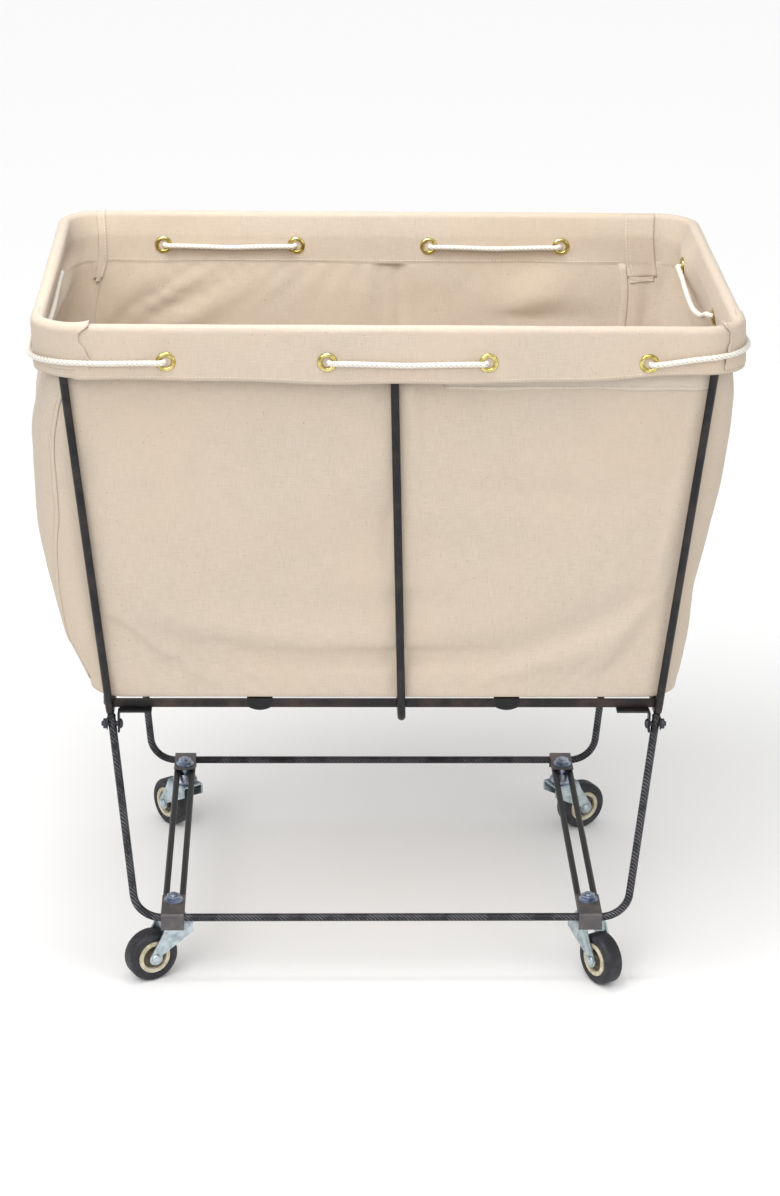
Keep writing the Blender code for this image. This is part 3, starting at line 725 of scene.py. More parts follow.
def rest_wall(rows):
    """A coarse copy of the wall to hang: every second column of every second row."""
    grid = [row[::2] for row in rows[::2]]
    count = len(grid[0])
    points = [point for row in grid for point in row]
    faces = []
    for row in range(len(grid) - 1):
        for column in range(count):
            after = (column + 1) % count
            faces.append((row * count + column, row * count + after,
                          (row + 1) * count + after, (row + 1) * count + column))
    mesh = bpy.data.meshes.new("hanging")
    mesh.from_pydata(points, [], faces)
    hanging = add_object("hanging", mesh)
    held = hanging.vertex_groups.new(name="held")
    marks = columns()[::2]
    for row in range(len(grid)):
        edge = min(row, len(grid) - 2 - row) / 5
        for column in range(count):
            weight = max(HOLD_WALL, 1.0 - edge) if row < len(grid) - 1 else 1.0
            place = ring_point(marks[column], 0, 0)
            if abs(place.x) > STRAIGHT_X - 0.01:
                weight = max(weight, HOLD_CORNER if abs(place.y) > STRAIGHT_Y - 0.01 else HOLD_END)
            held.add([row * count + column], weight, "REPLACE")
    return hanging, len(grid), count


POSTS = ((-HOOP_TOP_X, -HOOP_FOOT_X, 0.2436), (HOOP_TOP_X, HOOP_FOOT_X, 0.2436),
         (MIDDLE_TOP_X, MIDDLE_FOOT_X, RING_Y - POST_INSET))


def post_colliders():
    """Plain rods where the corner and middle posts stand, for the cloth to rest on."""
    made = []
    for top_x, foot_x, top_y in POSTS:
        for side in (-1, 1):
            ends = [Vector((foot_x, side * HOOP_FOOT_Y, BAR_Z)), Vector((top_x, side * top_y, RING_Z))]
            rings, faces = tube_mesh(ends, ROD, 12)
            mesh = bpy.data.meshes.new("collider")
            mesh.from_pydata([tuple(point) for point in rings], [], faces)
            rod = add_object("collider", mesh)
            rod.modifiers.new("collision", "COLLISION")
            rod.collision.thickness_outer = 0.001
            made.append(rod)
    return made


def behind_posts(rows):
    """Keeps the front and back walls inside the posts; between the posts they may bulge past them."""
    for row in rows:
        for column, (x, y, z) in enumerate(row):
            rise = (z - BAR_Z) / (RING_Z - BAR_Z)
            limit = 1.0
            for top_x, foot_x, top_y in POSTS:
                post_x = foot_x + (top_x - foot_x) * rise
                post_y = HOOP_FOOT_Y + (top_y - HOOP_FOOT_Y) * rise
                clear = max(0.0, abs(x - post_x) - 0.007)
                bulge = min(clear * 0.25, 0.006)
                limit = min(limit, post_y - ROD - CLOTH / 2 - 0.0006 + bulge + 40 * max(0.0, clear - 0.1))
            if abs(y) > limit and abs(y) > STRAIGHT_Y + 0.01:
                row[column] = (x, math.copysign(limit, y), z)
    return rows


def hang(rows, frames=26):
    """Lets the wall of the bag hang and buckle as slightly oversize cloth, and returns the moved rows."""
    hanging, row_count, column_count = rest_wall(rows)
    rods = post_colliders()
    cloth = hanging.modifiers.new("cloth", "CLOTH")
    cloth.settings.vertex_group_mass = "held"
    cloth.settings.quality = 6
    cloth.settings.mass = 0.35
    cloth.settings.tension_stiffness = 30
    cloth.settings.compression_stiffness = 30
    cloth.settings.shear_stiffness = 12
    cloth.settings.bending_stiffness = 3.0
    cloth.settings.air_damping = 4
    cloth.settings.shrink_min = -0.012
    cloth.collision_settings.distance_min = 0.0015
    cloth.collision_settings.collision_quality = 2
    cloth.point_cache.frame_start = 1
    cloth.point_cache.frame_end = frames
    scene = bpy.context.scene
    before = scene.frame_current
    for number in range(1, frames + 1):
        scene.frame_set(number)
    result = hanging.evaluated_get(bpy.context.evaluated_depsgraph_get()).to_mesh()
    moved = np.zeros(len(result.vertices) * 3)
    result.vertices.foreach_get("co", moved)
    rest = np.array([point for row in rows[::2] for point in row[::2]])
    shift = (moved.reshape(-1, 3) - rest).reshape(row_count, column_count, 3)
    scene.frame_set(before)
    for item in [hanging, *rods]:
        bpy.data.objects.remove(item)
    return spread(shift, len(rows), len(rows[0]))


def spread(shift, rows, columns_count):
    """Coarse movements carried over to every row and column."""
    coarse_rows = np.arange(shift.shape[0]) * 2
    every_row = np.arange(rows)
    wide = np.stack([
        np.stack([np.interp(every_row, coarse_rows, line) for line in shift[:, :, axis].T])
        for axis in range(3)])
    wrapped = np.concatenate([wide, wide[:, :1]], axis=1)
    coarse_columns = np.arange(shift.shape[1] + 1) * 2
    full = np.zeros((rows, columns_count, 3))
    for axis in range(3):
        for row in range(rows):
            full[row, :, axis] = np.interp(np.arange(columns_count), coarse_columns, wrapped[axis, :, row])
    return full


def cloth_mesh(name, rows, marks, closed=False, floor=False, finish="canvas"):
    """A sheet of canvas over rows of points, with cloth coordinates in metres."""
    count = len(rows[0])
    points = [point for row in rows for point in row]
    faces = []
    uvs = []
    lengths = [0.0]
    for first, second in zip(rows, rows[1:]):
        gaps = np.linalg.norm(np.array(first) - np.array(second), axis=1)
        lengths.append(lengths[-1] + float(gaps.mean()))
    spans = count if closed else count - 1
    for row in range(len(rows) - 1):
        for column in range(spans):
            after = (column + 1) % count
            here, there = row * count, (row + 1) * count
            faces.append((here + column, here + after, there + after, there + column))
            mark_after = marks[after] if after else marks[0] + (AROUND if closed else 0)
            low, high = lengths[row], lengths[row + 1]
            uvs += [(marks[column], low), (mark_after, low), (mark_after, high), (marks[column], high)]
    if floor:
        faces.append(tuple(range(count)))
        uvs.extend((points[index][0], points[index][1]) for index in range(count))
    mesh = bpy.data.meshes.new(name)
    mesh.from_pydata(points, [], faces)
    layer = mesh.uv_layers.new(name="cloth")
    layer.data.foreach_set("uv", [value for pair in uvs for value in pair])
    mesh.materials.append(MATERIALS[finish])
    mesh.shade_smooth()
    piece = add_object(name, mesh)
    solid = piece.modifiers.new("cloth", "SOLIDIFY")
    solid.thickness = CLOTH
    solid.offset = 0.0
    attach(piece, "frame")
    return piece


def slack(marks):
    """How freely each column follows the hanging cloth: the ends keep most of their sewn fullness."""
    places = np.array([abs(ring_point(mark, 0, 0).x) for mark in marks])
    return 1 - 0.88 * np.clip((places - STRAIGHT_X + 0.07) / 0.07, 0, 1)


def canvas_bag():
    marks = columns()
    rows = bag_rows(marks)
    start = FLOOR_ROWS
    end = start + WALL_ROWS - WALL_ROWS % 2 - 1
    moved = np.array(rows[start:end]) + hang(rows[start:end]) * slack(marks)[None, :, None]
    rows[start:end] = behind_posts([[tuple(point) for point in row] for row in moved])
    wall = rows[FLOOR_ROWS:FLOOR_ROWS + len(WALL_HEIGHTS)]
    WALL.update(marks=marks, heights=WALL_HEIGHTS, grid=np.array(wall))
    bag = cloth_mesh("canvas_bag_cloth", rows, marks, closed=True, floor=True)
    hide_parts("canvas_bag")
    return bag


# --- patches, hems and stitching

def cuff_surface(mark, share, lift):
    """A point on the outside of the cuff: share is 0 on top of the ring, 1 at the hem."""
    if share < 0.25:
        turn = math.radians(100 * (1 - share / 0.25))
        reach = CUFF_OFFSET + lift
        return tuple(ring_point(mark, reach * math.cos(turn), RING_Z + reach * math.sin(turn)))
    level = (share - 0.25) / 0.75
    foot = hem_height(mark)
    height = RING_Z + (foot - RING_Z) * level
    return tuple(ring_point(mark, CUFF_OFFSET + lift + cuff_shift(mark, height), height))


def corner_patch(name, start, end, dip, foot, lip, top=0.0):
    """The end panel's cuff, lapped over the front or back one past the corner, its raw edge dipping in.

    Top and foot are shares of the way down the cuff, and lip is how far the raw edge curls off it.
    """
    marks = np.linspace(start, end, 56)
    rows = []
    for share in np.linspace(top, foot, 40):
        row = []
        for index, mark in enumerate(marks):
            near = max(0.0, (index / (len(marks) - 1) - 0.45) / 0.55)
            reach = 0.14 if share < 0.32 else 0.23
            wave = dip * math.exp(-((share - 0.32) / reach) ** 2) + 0.0006 * math.sin(share * 34)
            curl = lip * near ** 6 * (0.6 + 0.4 * math.sin(share * 11 + 1))
            lift = 0.0014 + 0.0005 * math.sin(mark * 60) + curl
            row.append(cuff_surface(mark - math.copysign(wave, end - start) * near ** 2, share, lift))
        rows.append(row)
    return cloth_mesh(name, rows, marks)


def stitches(name, path, pitch=0.0034, length=0.0024, radius=0.00042):
    """A row of thread stitches along a path of points."""
    points, faces = [], []
    travelled, due = 0.0, pitch / 2
    for first, second in zip(path, path[1:]):
        first, second = Vector(first), Vector(second)
        step = second - first
        while travelled + step.length >= due:
            direction = step.normalized()
            centre = first + direction * (due - travelled)
            across = direction.orthogonal().normalized()
            other = direction.cross(across)
            base = len(points)
            for shift, size in ((-0.5, 0.35), (-0.3, 1.0), (0.3, 1.0), (0.5, 0.35)):
                for side in range(6):
                    turn = math.pi * side / 3
                    spoke = math.cos(turn) * across + math.sin(turn) * other
                    points.append(centre + direction * length * shift + spoke * radius * size)
            faces.extend(tuple(base + index for index in face) for face in loops_to_faces(4, 6, False))
            due += pitch
        travelled += step.length
    return make(name, points, faces, "thread")


def wall_point(mark, height, lift):
    """A point on the finished wall, moved outwards by lift."""
    marks, heights, grid = WALL["marks"], WALL["heights"], WALL["grid"]
    column = np.searchsorted(marks, (mark - marks[0]) % AROUND + marks[0], side="right") - 1
    after = (column + 1) % len(marks)
    width = (marks[after] - marks[column]) % AROUND
    part = ((mark - marks[column]) % AROUND) / width
    row = int(np.clip(np.searchsorted(heights, height, side="right") - 1, 0, len(heights) - 2))
    rise = float(np.clip((height - heights[row]) / (heights[row + 1] - heights[row]), 0, 1))
    low = grid[row, column] * (1 - part) + grid[row, after] * part
    high = grid[row + 1, column] * (1 - part) + grid[row + 1, after] * part
    point = Vector(low * (1 - rise) + high * rise) + outward(mark) * lift
    if height > heights[-1]:
        share = min(1.0, (height - heights[-1]) / (RING_Z - heights[-1]))
        turn = math.asin(clamp((height - RING_Z) / CUFF_OFFSET))
        reach = CUFF_OFFSET - lift
        over = ring_point(mark, -reach * math.cos(turn), max(RING_Z, RING_Z + reach * math.sin(turn)))
        point = point.lerp(over, share)
        point.z = max(point.z, min(height, RING_Z))
    return point


def wall_strip(name, marks, top, foot, lift, wave=0.0, crumple=0.0, finish="canvas"):
    """A flat strip of canvas sewn to the wall, with an uneven lower edge and, if asked, a crumpled face."""
    rows = []
    for share in np.linspace(0, 1, 9 if crumple == 0 else 25):
        row = []
        for mark in marks:
            low = foot + wave * (math.sin(mark * 37.0) + 0.5 * math.sin(mark * 83.0 + 1.0))
            height = top + (low - top) * share
            lumps = noise.noise(Vector((mark * 90, height * 140, 1.7)))
            lumps += 0.5 * noise.noise(Vector((mark * 30, height * 60, 5)))
            row.append(tuple(wall_point(mark, height, lift + math.copysign(crumple * lumps, lift))))
        rows.append(row)
    return cloth_mesh(name, rows, marks, finish=finish)


def wall_seam(name, mark, top, foot, lift, width, lean=0.0):
    """A narrow felled seam running down the wall; below 0.6 m it may lean towards smaller marks."""
    heights = np.linspace(top, foot, 40)
    marks = [mark - width / 2, mark - width / 4, mark, mark + width / 4, mark + width / 2]
    rows = []
    for height in heights:
        moved = lean * max(0.0, 0.60 - height)
        rises = [lift * (1.0 if 0 < index < 4 else 0.4) for index in range(5)]
        rows.append([tuple(wall_point(place - moved, height, rise)) for place, rise in zip(marks, rises)])
    return cloth_mesh(name, rows, marks)


def wall_stitches(name, marks, heights, lift, pitch=0.0042):
    """Stitches on the wall, through places given by marks and heights."""
    path = [wall_point(mark, height, lift) for mark, height in zip(marks, heights)]
    stitches(name, path, pitch, pitch * 0.7, 0.00034)


def corner_patches():
    """Each end's cuff laps over the long sides; the front corners are the untidy ones."""
    front_left = AROUND - STRAIGHT_X
    start, end = front_left - QUARTER - 0.02, front_left + 0.0160
    corner_patch("patch_front_left", start, end, dip=0.0130, foot=0.86, lip=0.0036)
    start, end = STRAIGHT_X + QUARTER + 0.02, STRAIGHT_X + 0.022
    corner_patch("patch_front_right", start, end, dip=0.006, foot=0.93, lip=0.0036)
    for side, sign in (("left", -1), ("right", 1)):
        start, end = along(side, STRAIGHT_Y) - sign * 0.02, along("back", sign * STRAIGHT_X)
        corner_patch(f"patch_rear_{side}", start, end, dip=0.004, foot=0.92, lip=0.001, top=0.3)


def hem_and_band():
    """Stitching along the hem, the paler selvedge below it, and the seam of the turned-down layer inside."""
    marks = np.append(columns(), AROUND - STRAIGHT_X)
    hem = [cuff_surface(mark, 0.945, CLOTH * 0.62) for mark in marks]
    stitches("hem_stitching", hem, pitch=0.0042, length=0.0030, radius=0.00030)
    front = np.linspace(along("front", 0.062), along("front", 0.364), 60)
    wall_strip("selvedge_front", front, top=0.785, foot=0.7600, lift=0.0018, wave=0.0010, finish="selvedge")
    wall_stitches("selvedge_stitching", front, np.full(60, 0.7635), 0.0029)
    band = np.linspace(along("back", 0.300), along("back", -0.342), 120)
    wall_stitches("band_stitching", band, np.full(120, SEAM_Z + 0.003), -CLOTH / 2 - 0.0002)


def back_corners():
    """Folded flaps and felled seams down the inside of the back corners."""
    inside = -CLOTH / 2
    right = np.linspace(along("back", 0.347), along("back", 0.310), 22)
    face = inside - 0.0005
    wall_strip("flap_back_right", right, top=0.836, foot=0.7570, lift=face, wave=0.0007, crumple=0.0004)
    for shift in (0.0025, 0.0065):
        place = np.full(36, along("back", 0.310 + shift))
        name = f"flap_stitching_{round(shift * 1000)}"
        wall_stitches(name, place, np.linspace(0.832, 0.763, 36), inside - 0.0015)
    bunch = np.linspace(along("back", 0.343), along("back", 0.312), 22)
    face = inside - 0.0004
    wall_strip("bunch_back_right", bunch, top=0.7580, foot=0.7500, lift=face, wave=0.0016, crumple=0.0008)
    face = inside + 0.0002
    wall_seam("seam_back_right", along("back", 0.3055), top=0.775, foot=0.392, lift=face, width=0.009)
    left = np.linspace(along("back", -0.344), along("back", -0.356), 12)
    face = inside - 0.0008
    wall_strip("flap_back_left", left, top=0.836, foot=0.7520, lift=face, wave=0.0006, crumple=0.0006)
    face = inside - 0.0022
    wall_strip("knot_back_left", left[2:9], top=0.7550, foot=0.7490, lift=face, wave=0.0010, crumple=0.0024)
    face = inside + 0.0002
    wall_seam("seam_back_left", along("back", -0.3475), top=0.752, foot=0.392, lift=face, width=0.008)
    place = np.full(36, along("back", -0.346))
    wall_stitches("flap_stitching_left", place, np.linspace(0.832, 0.753, 36), inside - 0.0018)


def trimmings():
    corner_patches()
    hem_and_band()
    back_corners()
    front_left = AROUND - STRAIGHT_X
    place, lean = front_left - 0.22 * QUARTER, 2.6 * QUARTER
    wall_seam("seam_corner_left", place, top=0.770, foot=0.392, lift=0.0016, width=0.006, lean=lean)
    for side in ("left", "right"):
        place = along(side, -0.135)
        wall_seam(f"seam_outer_{side}", place, top=0.760, foot=0.392, lift=0.0012, width=0.007)


# --- grommets and cord

GROMMET_LIP = (                                 # radius and rise of the rolled lip's section
    (0.0058, -0.0010), (0.0060, 0.0007), (0.0066, 0.0016), (0.0076, 0.0021), (0.0088, 0.0021),
    (0.0100, 0.0016), (0.0109, 0.0007), (0.0112, -0.0001), (0.0100, -0.0003), (0.0070, -0.0004),
)


def wall_offset(stop):
    """How far outside the ring's centre line the wall is at a grommet."""
    return (wall_point(stop, GROMMET_Z, 0) - ring_point(stop, 0, GROMMET_Z)).dot(outward(stop))


def grommets():
    for index, stop in enumerate(STOPS, 1):
        outer = [(radius, CUFF_OFFSET + CLOTH / 2 + rise) for radius, rise in GROMMET_LIP]
        face = wall_offset(stop) - CLOTH / 2
        inner = [(radius, face - rise) for radius, rise in GROMMET_LIP]
        points, faces = turned_mesh(outer + inner[::-1], 40, around=True)
        turn = outward(stop).to_track_quat("Z", "Y").to_matrix().to_4x4()
        matrix = Matrix.Translation(ring_point(stop, 0, GROMMET_Z)) @ turn
        make(f"grommet_brass_{index:02d}", placed(points, matrix), faces, "brass",
             smooth=50, node=f"grommet_{index:02d}")


CORD_RADIUS = 0.0033
CORD_TURN = 0.0037
CORD_DROPS = (      # for each stretch: how far it hangs at a quarter, the middle and three quarters
    (0.004, 0.001, 0.001), (0.003, 0.005, 0.003), (0.001, 0.002, 0.001), (0.003, 0.005, 0.003),
    (-0.008, -0.010, -0.005), (0.016, 0.022, 0.014), (0.001, 0.002, 0.001), (0.001, 0.002, 0.001),
    (0.001, 0.002, 0.001), (0.001, 0.002, 0.001), (0.002, 0.003, 0.002), (0.006, 0.009, 0.006),
)


def cord_route():
    """The cord's closed route through the grommets, outside and inside by turns."""
    bore = 0.0060
    points = []
    bend = [math.radians(turn) for turn in (0, 22, 45, 68, 90)]
    for index, stop in enumerate(STOPS):
        side = 1 if index % 2 == 0 else -1
        following = STOPS[(index + 1) % len(STOPS)]
        span = (following - stop) % AROUND
        lips = [CUFF_OFFSET + CLOTH / 2 + 0.0022] * 2
        if side == -1:
            lips = [wall_offset(stop) - CLOTH / 2 - 0.0022, wall_offset(following) - CLOTH / 2 - 0.0022]
        turns = [(bore - CORD_TURN * math.cos(angle), side * CORD_TURN * math.sin(angle)) for angle in bend]
        points += [ring_point(stop + reach, lips[0] + out, GROMMET_Z) for reach, out in turns]
        steps = max(6, round(span / 0.012))
        drops = (0.0, *CORD_DROPS[index], 0.0)
        for step in range(1, steps):
            share = step / steps
            height = GROMMET_Z - smooth_between(drops, share)
            mark = stop + bore + (span - 2 * bore) * share
            lip = lips[0] + (lips[1] - lips[0]) * share
            if side == 1:
                lip += min(0.0, cuff_shift(mark, height)) * min(1.0, 8 * min(share, 1 - share))
            settle = 0.0012 * min(1.0, 6 * min(share, 1 - share)) * side
            points.append(ring_point(mark, lip + side * CORD_TURN - settle, height))
        points += [ring_point(following - reach, lips[1] + out, GROMMET_Z) for reach, out in turns[::-1]]
    return points


def spline(before, first, second, after, part):
    """A value between first and second, on a smooth curve through all four."""
    return 0.5 * (2 * first + (second - before) * part
                  + (2 * before - 5 * first + 4 * second - after) * part ** 2
                  + (3 * first - before - 3 * second + after) * part ** 3)


def smooth_between(values, share):
    """A smooth curve through evenly spaced values."""
    spot = share * (len(values) - 1)
    index = min(int(spot), len(values) - 2)
    part = spot - index
    near = [values[max(0, min(len(values) - 1, index + shift))] for shift in (-1, 0, 1, 2)]
    return spline(*near, part)


def resampled(points, step):
    """Evenly spaced points on a closed smooth curve through the given ones."""
    count = len(points)
    fine = []
    for index in range(count):
        before, first, second, after = (points[(index + shift) % count] for shift in (-1, 0, 1, 2))
        parts = max(2, math.ceil((second - first).length / (step * 0.5)))
        for part in (piece / parts for piece in range(parts)):
            fine.append(spline(before, first, second, after, part))
    lengths = [0.0]
    for first, second in zip(fine, fine[1:] + fine[:1]):
        lengths.append(lengths[-1] + (second - first).length)
    total = lengths[-1]
    amount = round(total / step)
    xyz = np.array([tuple(point) for point in fine + fine[:1]])
    spots = np.linspace(0, total, amount, endpoint=False)
    return [Vector(spot) for spot in zip(*(np.interp(spots, lengths, xyz[:, axis]) for axis in range(3)))]


def drawcord():
    """A braided cord: strands in two directions that pass over and under each other."""
    path = resampled(cord_route(), 0.0008)
    sides = 16
    strands = 4
    turns = round(len(path) * 0.0008 / 0.022)
    points, depth = [], []
    for index, (point, across, other) in enumerate(sections(path, True)):
        walk = 2 * math.pi * turns * index / len(path)
        for side in range(sides):
            turn = 2 * math.pi * side / sides
            one = math.cos(strands * turn + strands * walk)
            two = math.cos(strands * turn - strands * walk)
            crown = max(one, two)
            depth.append(crown)
            reach = CORD_RADIUS * (0.85 + 0.15 * crown)
            points.append(point + reach * (math.cos(turn) * across + math.sin(turn) * other))
    faces = loops_to_faces(len(path), sides, True)
    piece = make("drawcord_braid", points, faces, "cord", smooth=80, node="drawcord")
    # crown is the strands' height; the cord material paints shade where it is low
    layer = piece.data.attributes.new("crown", "FLOAT", "POINT")
    layer.data.foreach_set("value", depth)


# --- rods, bar, straps and brackets

def rod_piece(name, node, points, radius, around=False, finish="rod"):
    rings, faces = tube_mesh(points, radius, 24, around)
    return make(name, rings, faces, finish, smooth=50, node=node)


def top_ring():
    marks = columns()[::3]
    rod_piece("top_ring_rod", "top_ring", [ring_point(mark, 0, RING_Z) for mark in marks], ROD, around=True)


def hoops():
    top_z = RING_Z - ROD - GAP
    past = HOOP_TOP_X - (RING_X - RING_CORNER)
    corner_y = RING_Y - RING_CORNER + math.sqrt(RING_CORNER ** 2 - past ** 2) - POST_INSET
    for name, top_x, foot_x, top_y, bend in (
        ("hoop_left", -HOOP_TOP_X, -HOOP_FOOT_X, corner_y, 0.0062),
        ("hoop_right", HOOP_TOP_X, HOOP_FOOT_X, corner_y, 0.0062),
        ("hoop_middle", MIDDLE_TOP_X, MIDDLE_FOOT_X, RING_Y - POST_INSET, 0.014),
    ):
        run_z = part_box(name)[0].z + ROD
        path = rounded_path([
            (top_x, -top_y, top_z), (foot_x, -HOOP_FOOT_Y, run_z),
            (foot_x, HOOP_FOOT_Y, run_z), (top_x, top_y, top_z),
        ], bend)
        rod_piece(f"{name}_rod", name, path, ROD)


def leg_x(height):
    return LEG_FOOT_X + (HOOP_FOOT_X - LEG_FOOT_X) * (height - LEG_Z) / (BAR_Z - LEG_Z)


def leg_y(height):
    return LEG_FOOT_Y + (HOOP_FOOT_Y - LEG_FOOT_Y) * (height - LEG_Z) / (BAR_Z - LEG_Z)


def legs():
    for name, side in (("leg_loop_front", -1), ("leg_loop_rear", 1)):
        top = (leg_x(LEG_TOP_Z), side * leg_y(LEG_TOP_Z), LEG_TOP_Z)
        path = rounded_path([
            (-top[0], top[1], top[2]), (-LEG_FOOT_X, side * LEG_FOOT_Y, LEG_Z),
            (LEG_FOOT_X, side * LEG_FOOT_Y, LEG_Z), top,
        ], LEG_BEND)
        rod_piece(f"{name}_rod", name, path, ROD, finish="rail")
    for side in ("left", "right"):
        for place in ("inner", "outer"):
            node = f"cross_rod_{side}_{place}"
            centre, reach = middle(node), half(node)
            ends = [Vector((centre.x, -reach.y, centre.z)), Vector((centre.x, reach.y, centre.z))]
            rod_piece(f"{node}_rod", node, ends, reach.x)


def extruded(name, node, outline_points, low, high, axis, finish, slot, bevel):
    """A flat outline drawn out along an axis, its edges rounded."""
    points = []
    for level in (low, high):
        for first, second in outline_points:
            spot = [first, second]
            spot.insert("XYZ".index(axis), level)
            points.append(Vector(spot))
    faces = loops_to_faces(2, len(outline_points), False)
    return soften(make(name, points, faces, finish, smooth=30, node=node), bevel)


def strip_outline(path, thickness):
    """The outline of a bent strip of this thickness, one face on the path."""
    outer = []
    for index, point in enumerate(path):
        before = path[max(index - 1, 0)]
        after = path[min(index + 1, len(path) - 1)]
        step = Vector((after[0] - before[0], after[1] - before[1])).normalized()
        outer.append((point[0] - step.y * thickness, point[1] + step.x * thickness))
    return list(path) + outer[::-1]


def bent_path(points, radius, steps=8):
    flat = [Vector((first, second, 0)) for first, second in points]
    return [(point.x, point.y) for point in rounded_path(flat, radius, steps)]


def tack_welds():
    """A small weld where each leg meets the foot of its corner post."""
    for corner, (side_x, side_y) in CORNERS.items():
        top = Vector((side_x * leg_x(LEG_TOP_Z), side_y * leg_y(LEG_TOP_Z), LEG_TOP_Z + 0.0012))
        points = []
        for row in range(9):
            tilt = math.pi * (row + 0.5) / 9 - math.pi / 2
            for side in range(18):
                turn = 2 * math.pi * side / 18
                across, along_y = math.cos(turn), math.sin(turn)
                lump = 1 + 0.10 * noise.noise(Vector((across * 2, along_y * 2, tilt * 2 + side_x)))
                reach = ROD * 1.06 * math.cos(tilt) * lump
                points.append(top + Vector((reach * across, reach * along_y, 0.0040 * math.sin(tilt))))
        make(f"tack_weld_{corner}", points, loops_to_faces(9, 18, False), "rod", smooth=60)


def base_bar():
    """Square bar round the foot of the bag."""
    low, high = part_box("base_bar")
    thickness = 0.005
    corner = 0.0125
    rows = []
    for inset, height in ((0, high.z), (0, low.z), (thickness, low.z), (thickness, high.z)):
        for turn, side_x, side_y in ((270, 1, -1), (0, 1, 1), (90, -1, 1), (180, -1, -1)):
            for step in range(13):
                angle = math.radians(turn + 90 * step / 12)
                reach = corner - inset
                rows.append(Vector((
                    side_x * (high.x - corner) + reach * math.cos(angle),
                    side_y * (high.y - corner) + reach * math.sin(angle), height)))
    faces = loops_to_faces(4, 52, True)
    piece = make("base_bar_steel", rows, faces, "bar", smooth=30, node="base_bar")
    soften(piece, 0.0008, 3)


def straps():
    """Webbing over the bar and back under it, the tucked ends sagging in the middle of their width."""
    thick = 0.0015
    for side in ("left", "right"):
        node = f"support_strap_{side}"
        low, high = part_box(node)
        inner = high.y - thick
        tuck = inner - GAP - 0.005
        top, foot = high.z - thick, low.z + thick
        path = bent_path([
            (tuck, foot), (inner, foot), (inner, top), (-inner, top), (-inner, foot), (-tuck, foot),
        ], 0.0012, 5)
        section = strip_outline(path, thick)
        points = []
        for step in range(13):
            share = 2 * step / 12 - 1
            for y, z in section:
                under = clamp((foot + 0.004 - z) / 0.004)
                width = high.x - low.x - 0.005 * clamp((top - z) / 0.009)
                spot = middle(node).x + share * width / 2
                points.append(Vector((spot, y, z - 0.0034 * under * (1 - share ** 2))))
        faces = loops_to_faces(13, len(section), False)
        make(f"{node}_webbing", points, faces, "webbing", node=node)


def bent_plate(name, node, side, reach, thick, bend, span, finish, bevel):
    """A plate along x or y, bent down at its outer edge and drawn out over the span across it."""
    low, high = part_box(node)
    near, far = (low.x, high.x) if reach == "X" else (low.y, high.y)
    outer, inner = (far, near) if side > 0 else (-near, -far)
    path = bent_path([(inner, high.z), (outer, high.z), (outer, low.z)], bend, 8)
    outline_points = [(side * place, z) for place, z in strip_outline(path, -thick)]
    across = "Y" if reach == "X" else "X"
    extruded(name, node, outline_points, *span, across, finish, "plate_steel", bevel)


def corner_brackets():
    for corner, (side_x, side_y) in CORNERS.items():
        node = f"corner_bracket_{corner}"
        low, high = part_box(node)
        span = (low.y + 0.002, high.y - 0.0045) if side_y > 0 else (low.y + 0.0045, high.y - 0.002)
        bent_plate(f"{node}_strip", node, side_x, "X", 0.0025, 0.0045, span, "bracket", 0.0005)


def caster_brackets():
    for corner, (_, side_y) in CORNERS.items():
        node = f"caster_bracket_{corner}"
        low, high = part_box(node)
        bent_plate(f"{node}_plate", node, side_y, "Y", 0.003, 0.0042, (low.x, high.x), "plate", 0.0006)


BOLT_HEAD = [       # radius and height above the outer face, up to the shank
    (0.0012, 0.0), (0.0034, 0.0004), (0.0054, 0.0016), (0.0060, 0.0030), (0.0060, 0.0035), (0.0030, 0.0036),
]
BOLT_NUT = [        # radius and distance back from the threaded end: washer, hexagon nut, end
    (0.0030, 0.0073), (0.0076, 0.0072), (0.0076, 0.0062), (0.0056, 0.0061), (0.0060, 0.0054),
    (0.0060, 0.0026), (0.0054, 0.0020), (0.0030, 0.0019), (0.0030, 0.0004), (0.0024, 0.0),
]


def leg_bolts():
    for corner, (side_x, _) in CORNERS.items():
        node = f"leg_bolt_{corner}"
        low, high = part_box(node)
        length = high.x - low.x
        place = middle(node)
        profile = BOLT_HEAD + [(radius, length - back) for radius, back in BOLT_NUT]
        points, faces = turned_mesh(profile, 36, hexed=(9, 10, 11, 12))
        turn = Matrix.Rotation(side_x * math.pi / 2, 4, "Y")
        start = low.x if side_x > 0 else high.x
        matrix = Matrix.Translation((start, place.y, place.z)) @ turn
        make(f"{node}_steel", placed(points, matrix), faces, "nut", smooth=35, node=node)


# --- casters

def joint(name):
    return next(item for item in frame["joints"] if item["name"] == name)


STEM_CUP = [        # radius and height above the raceway cup's lower edge
    (0.0148, 0.0), (0.0160, 0.0012), (0.0162, 0.0035), (0.0152, 0.0052),
    (0.0128, 0.0078), (0.0112, 0.0105), (0.0100, 0.0119), (0.0048, 0.0120),
]
STEM_NUT = [        # radius and height from the nut's seat: washer, hexagon nut
    (0.0048, -0.0002), (0.0118, -0.0001), (0.0118, 0.0009), (0.0088, 0.0010),
    (0.0092, 0.0018), (0.0092, 0.0056), (0.0084, 0.0065), (0.0050, 0.0066),
]


def stem_points():
    """Raceway cup, washer, hexagon nut and threaded end."""
    low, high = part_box("caster_front_left_stem")
    nut = high.z - 0.0090
    profile = [(radius, low.z + rise) for radius, rise in STEM_CUP]
    profile += [(radius, nut + rise) for radius, rise in STEM_NUT]
    thread = nut + 0.0068
    while thread < high.z - 0.0006:
        profile += [(0.0048, thread), (0.0044, thread + 0.0004)]
        thread += 0.0008
    profile += [(0.0044, high.z - 0.0002), (0.0036, high.z)]
    return turned_mesh(profile, 48, hexed=(11, 12, 13, 14))


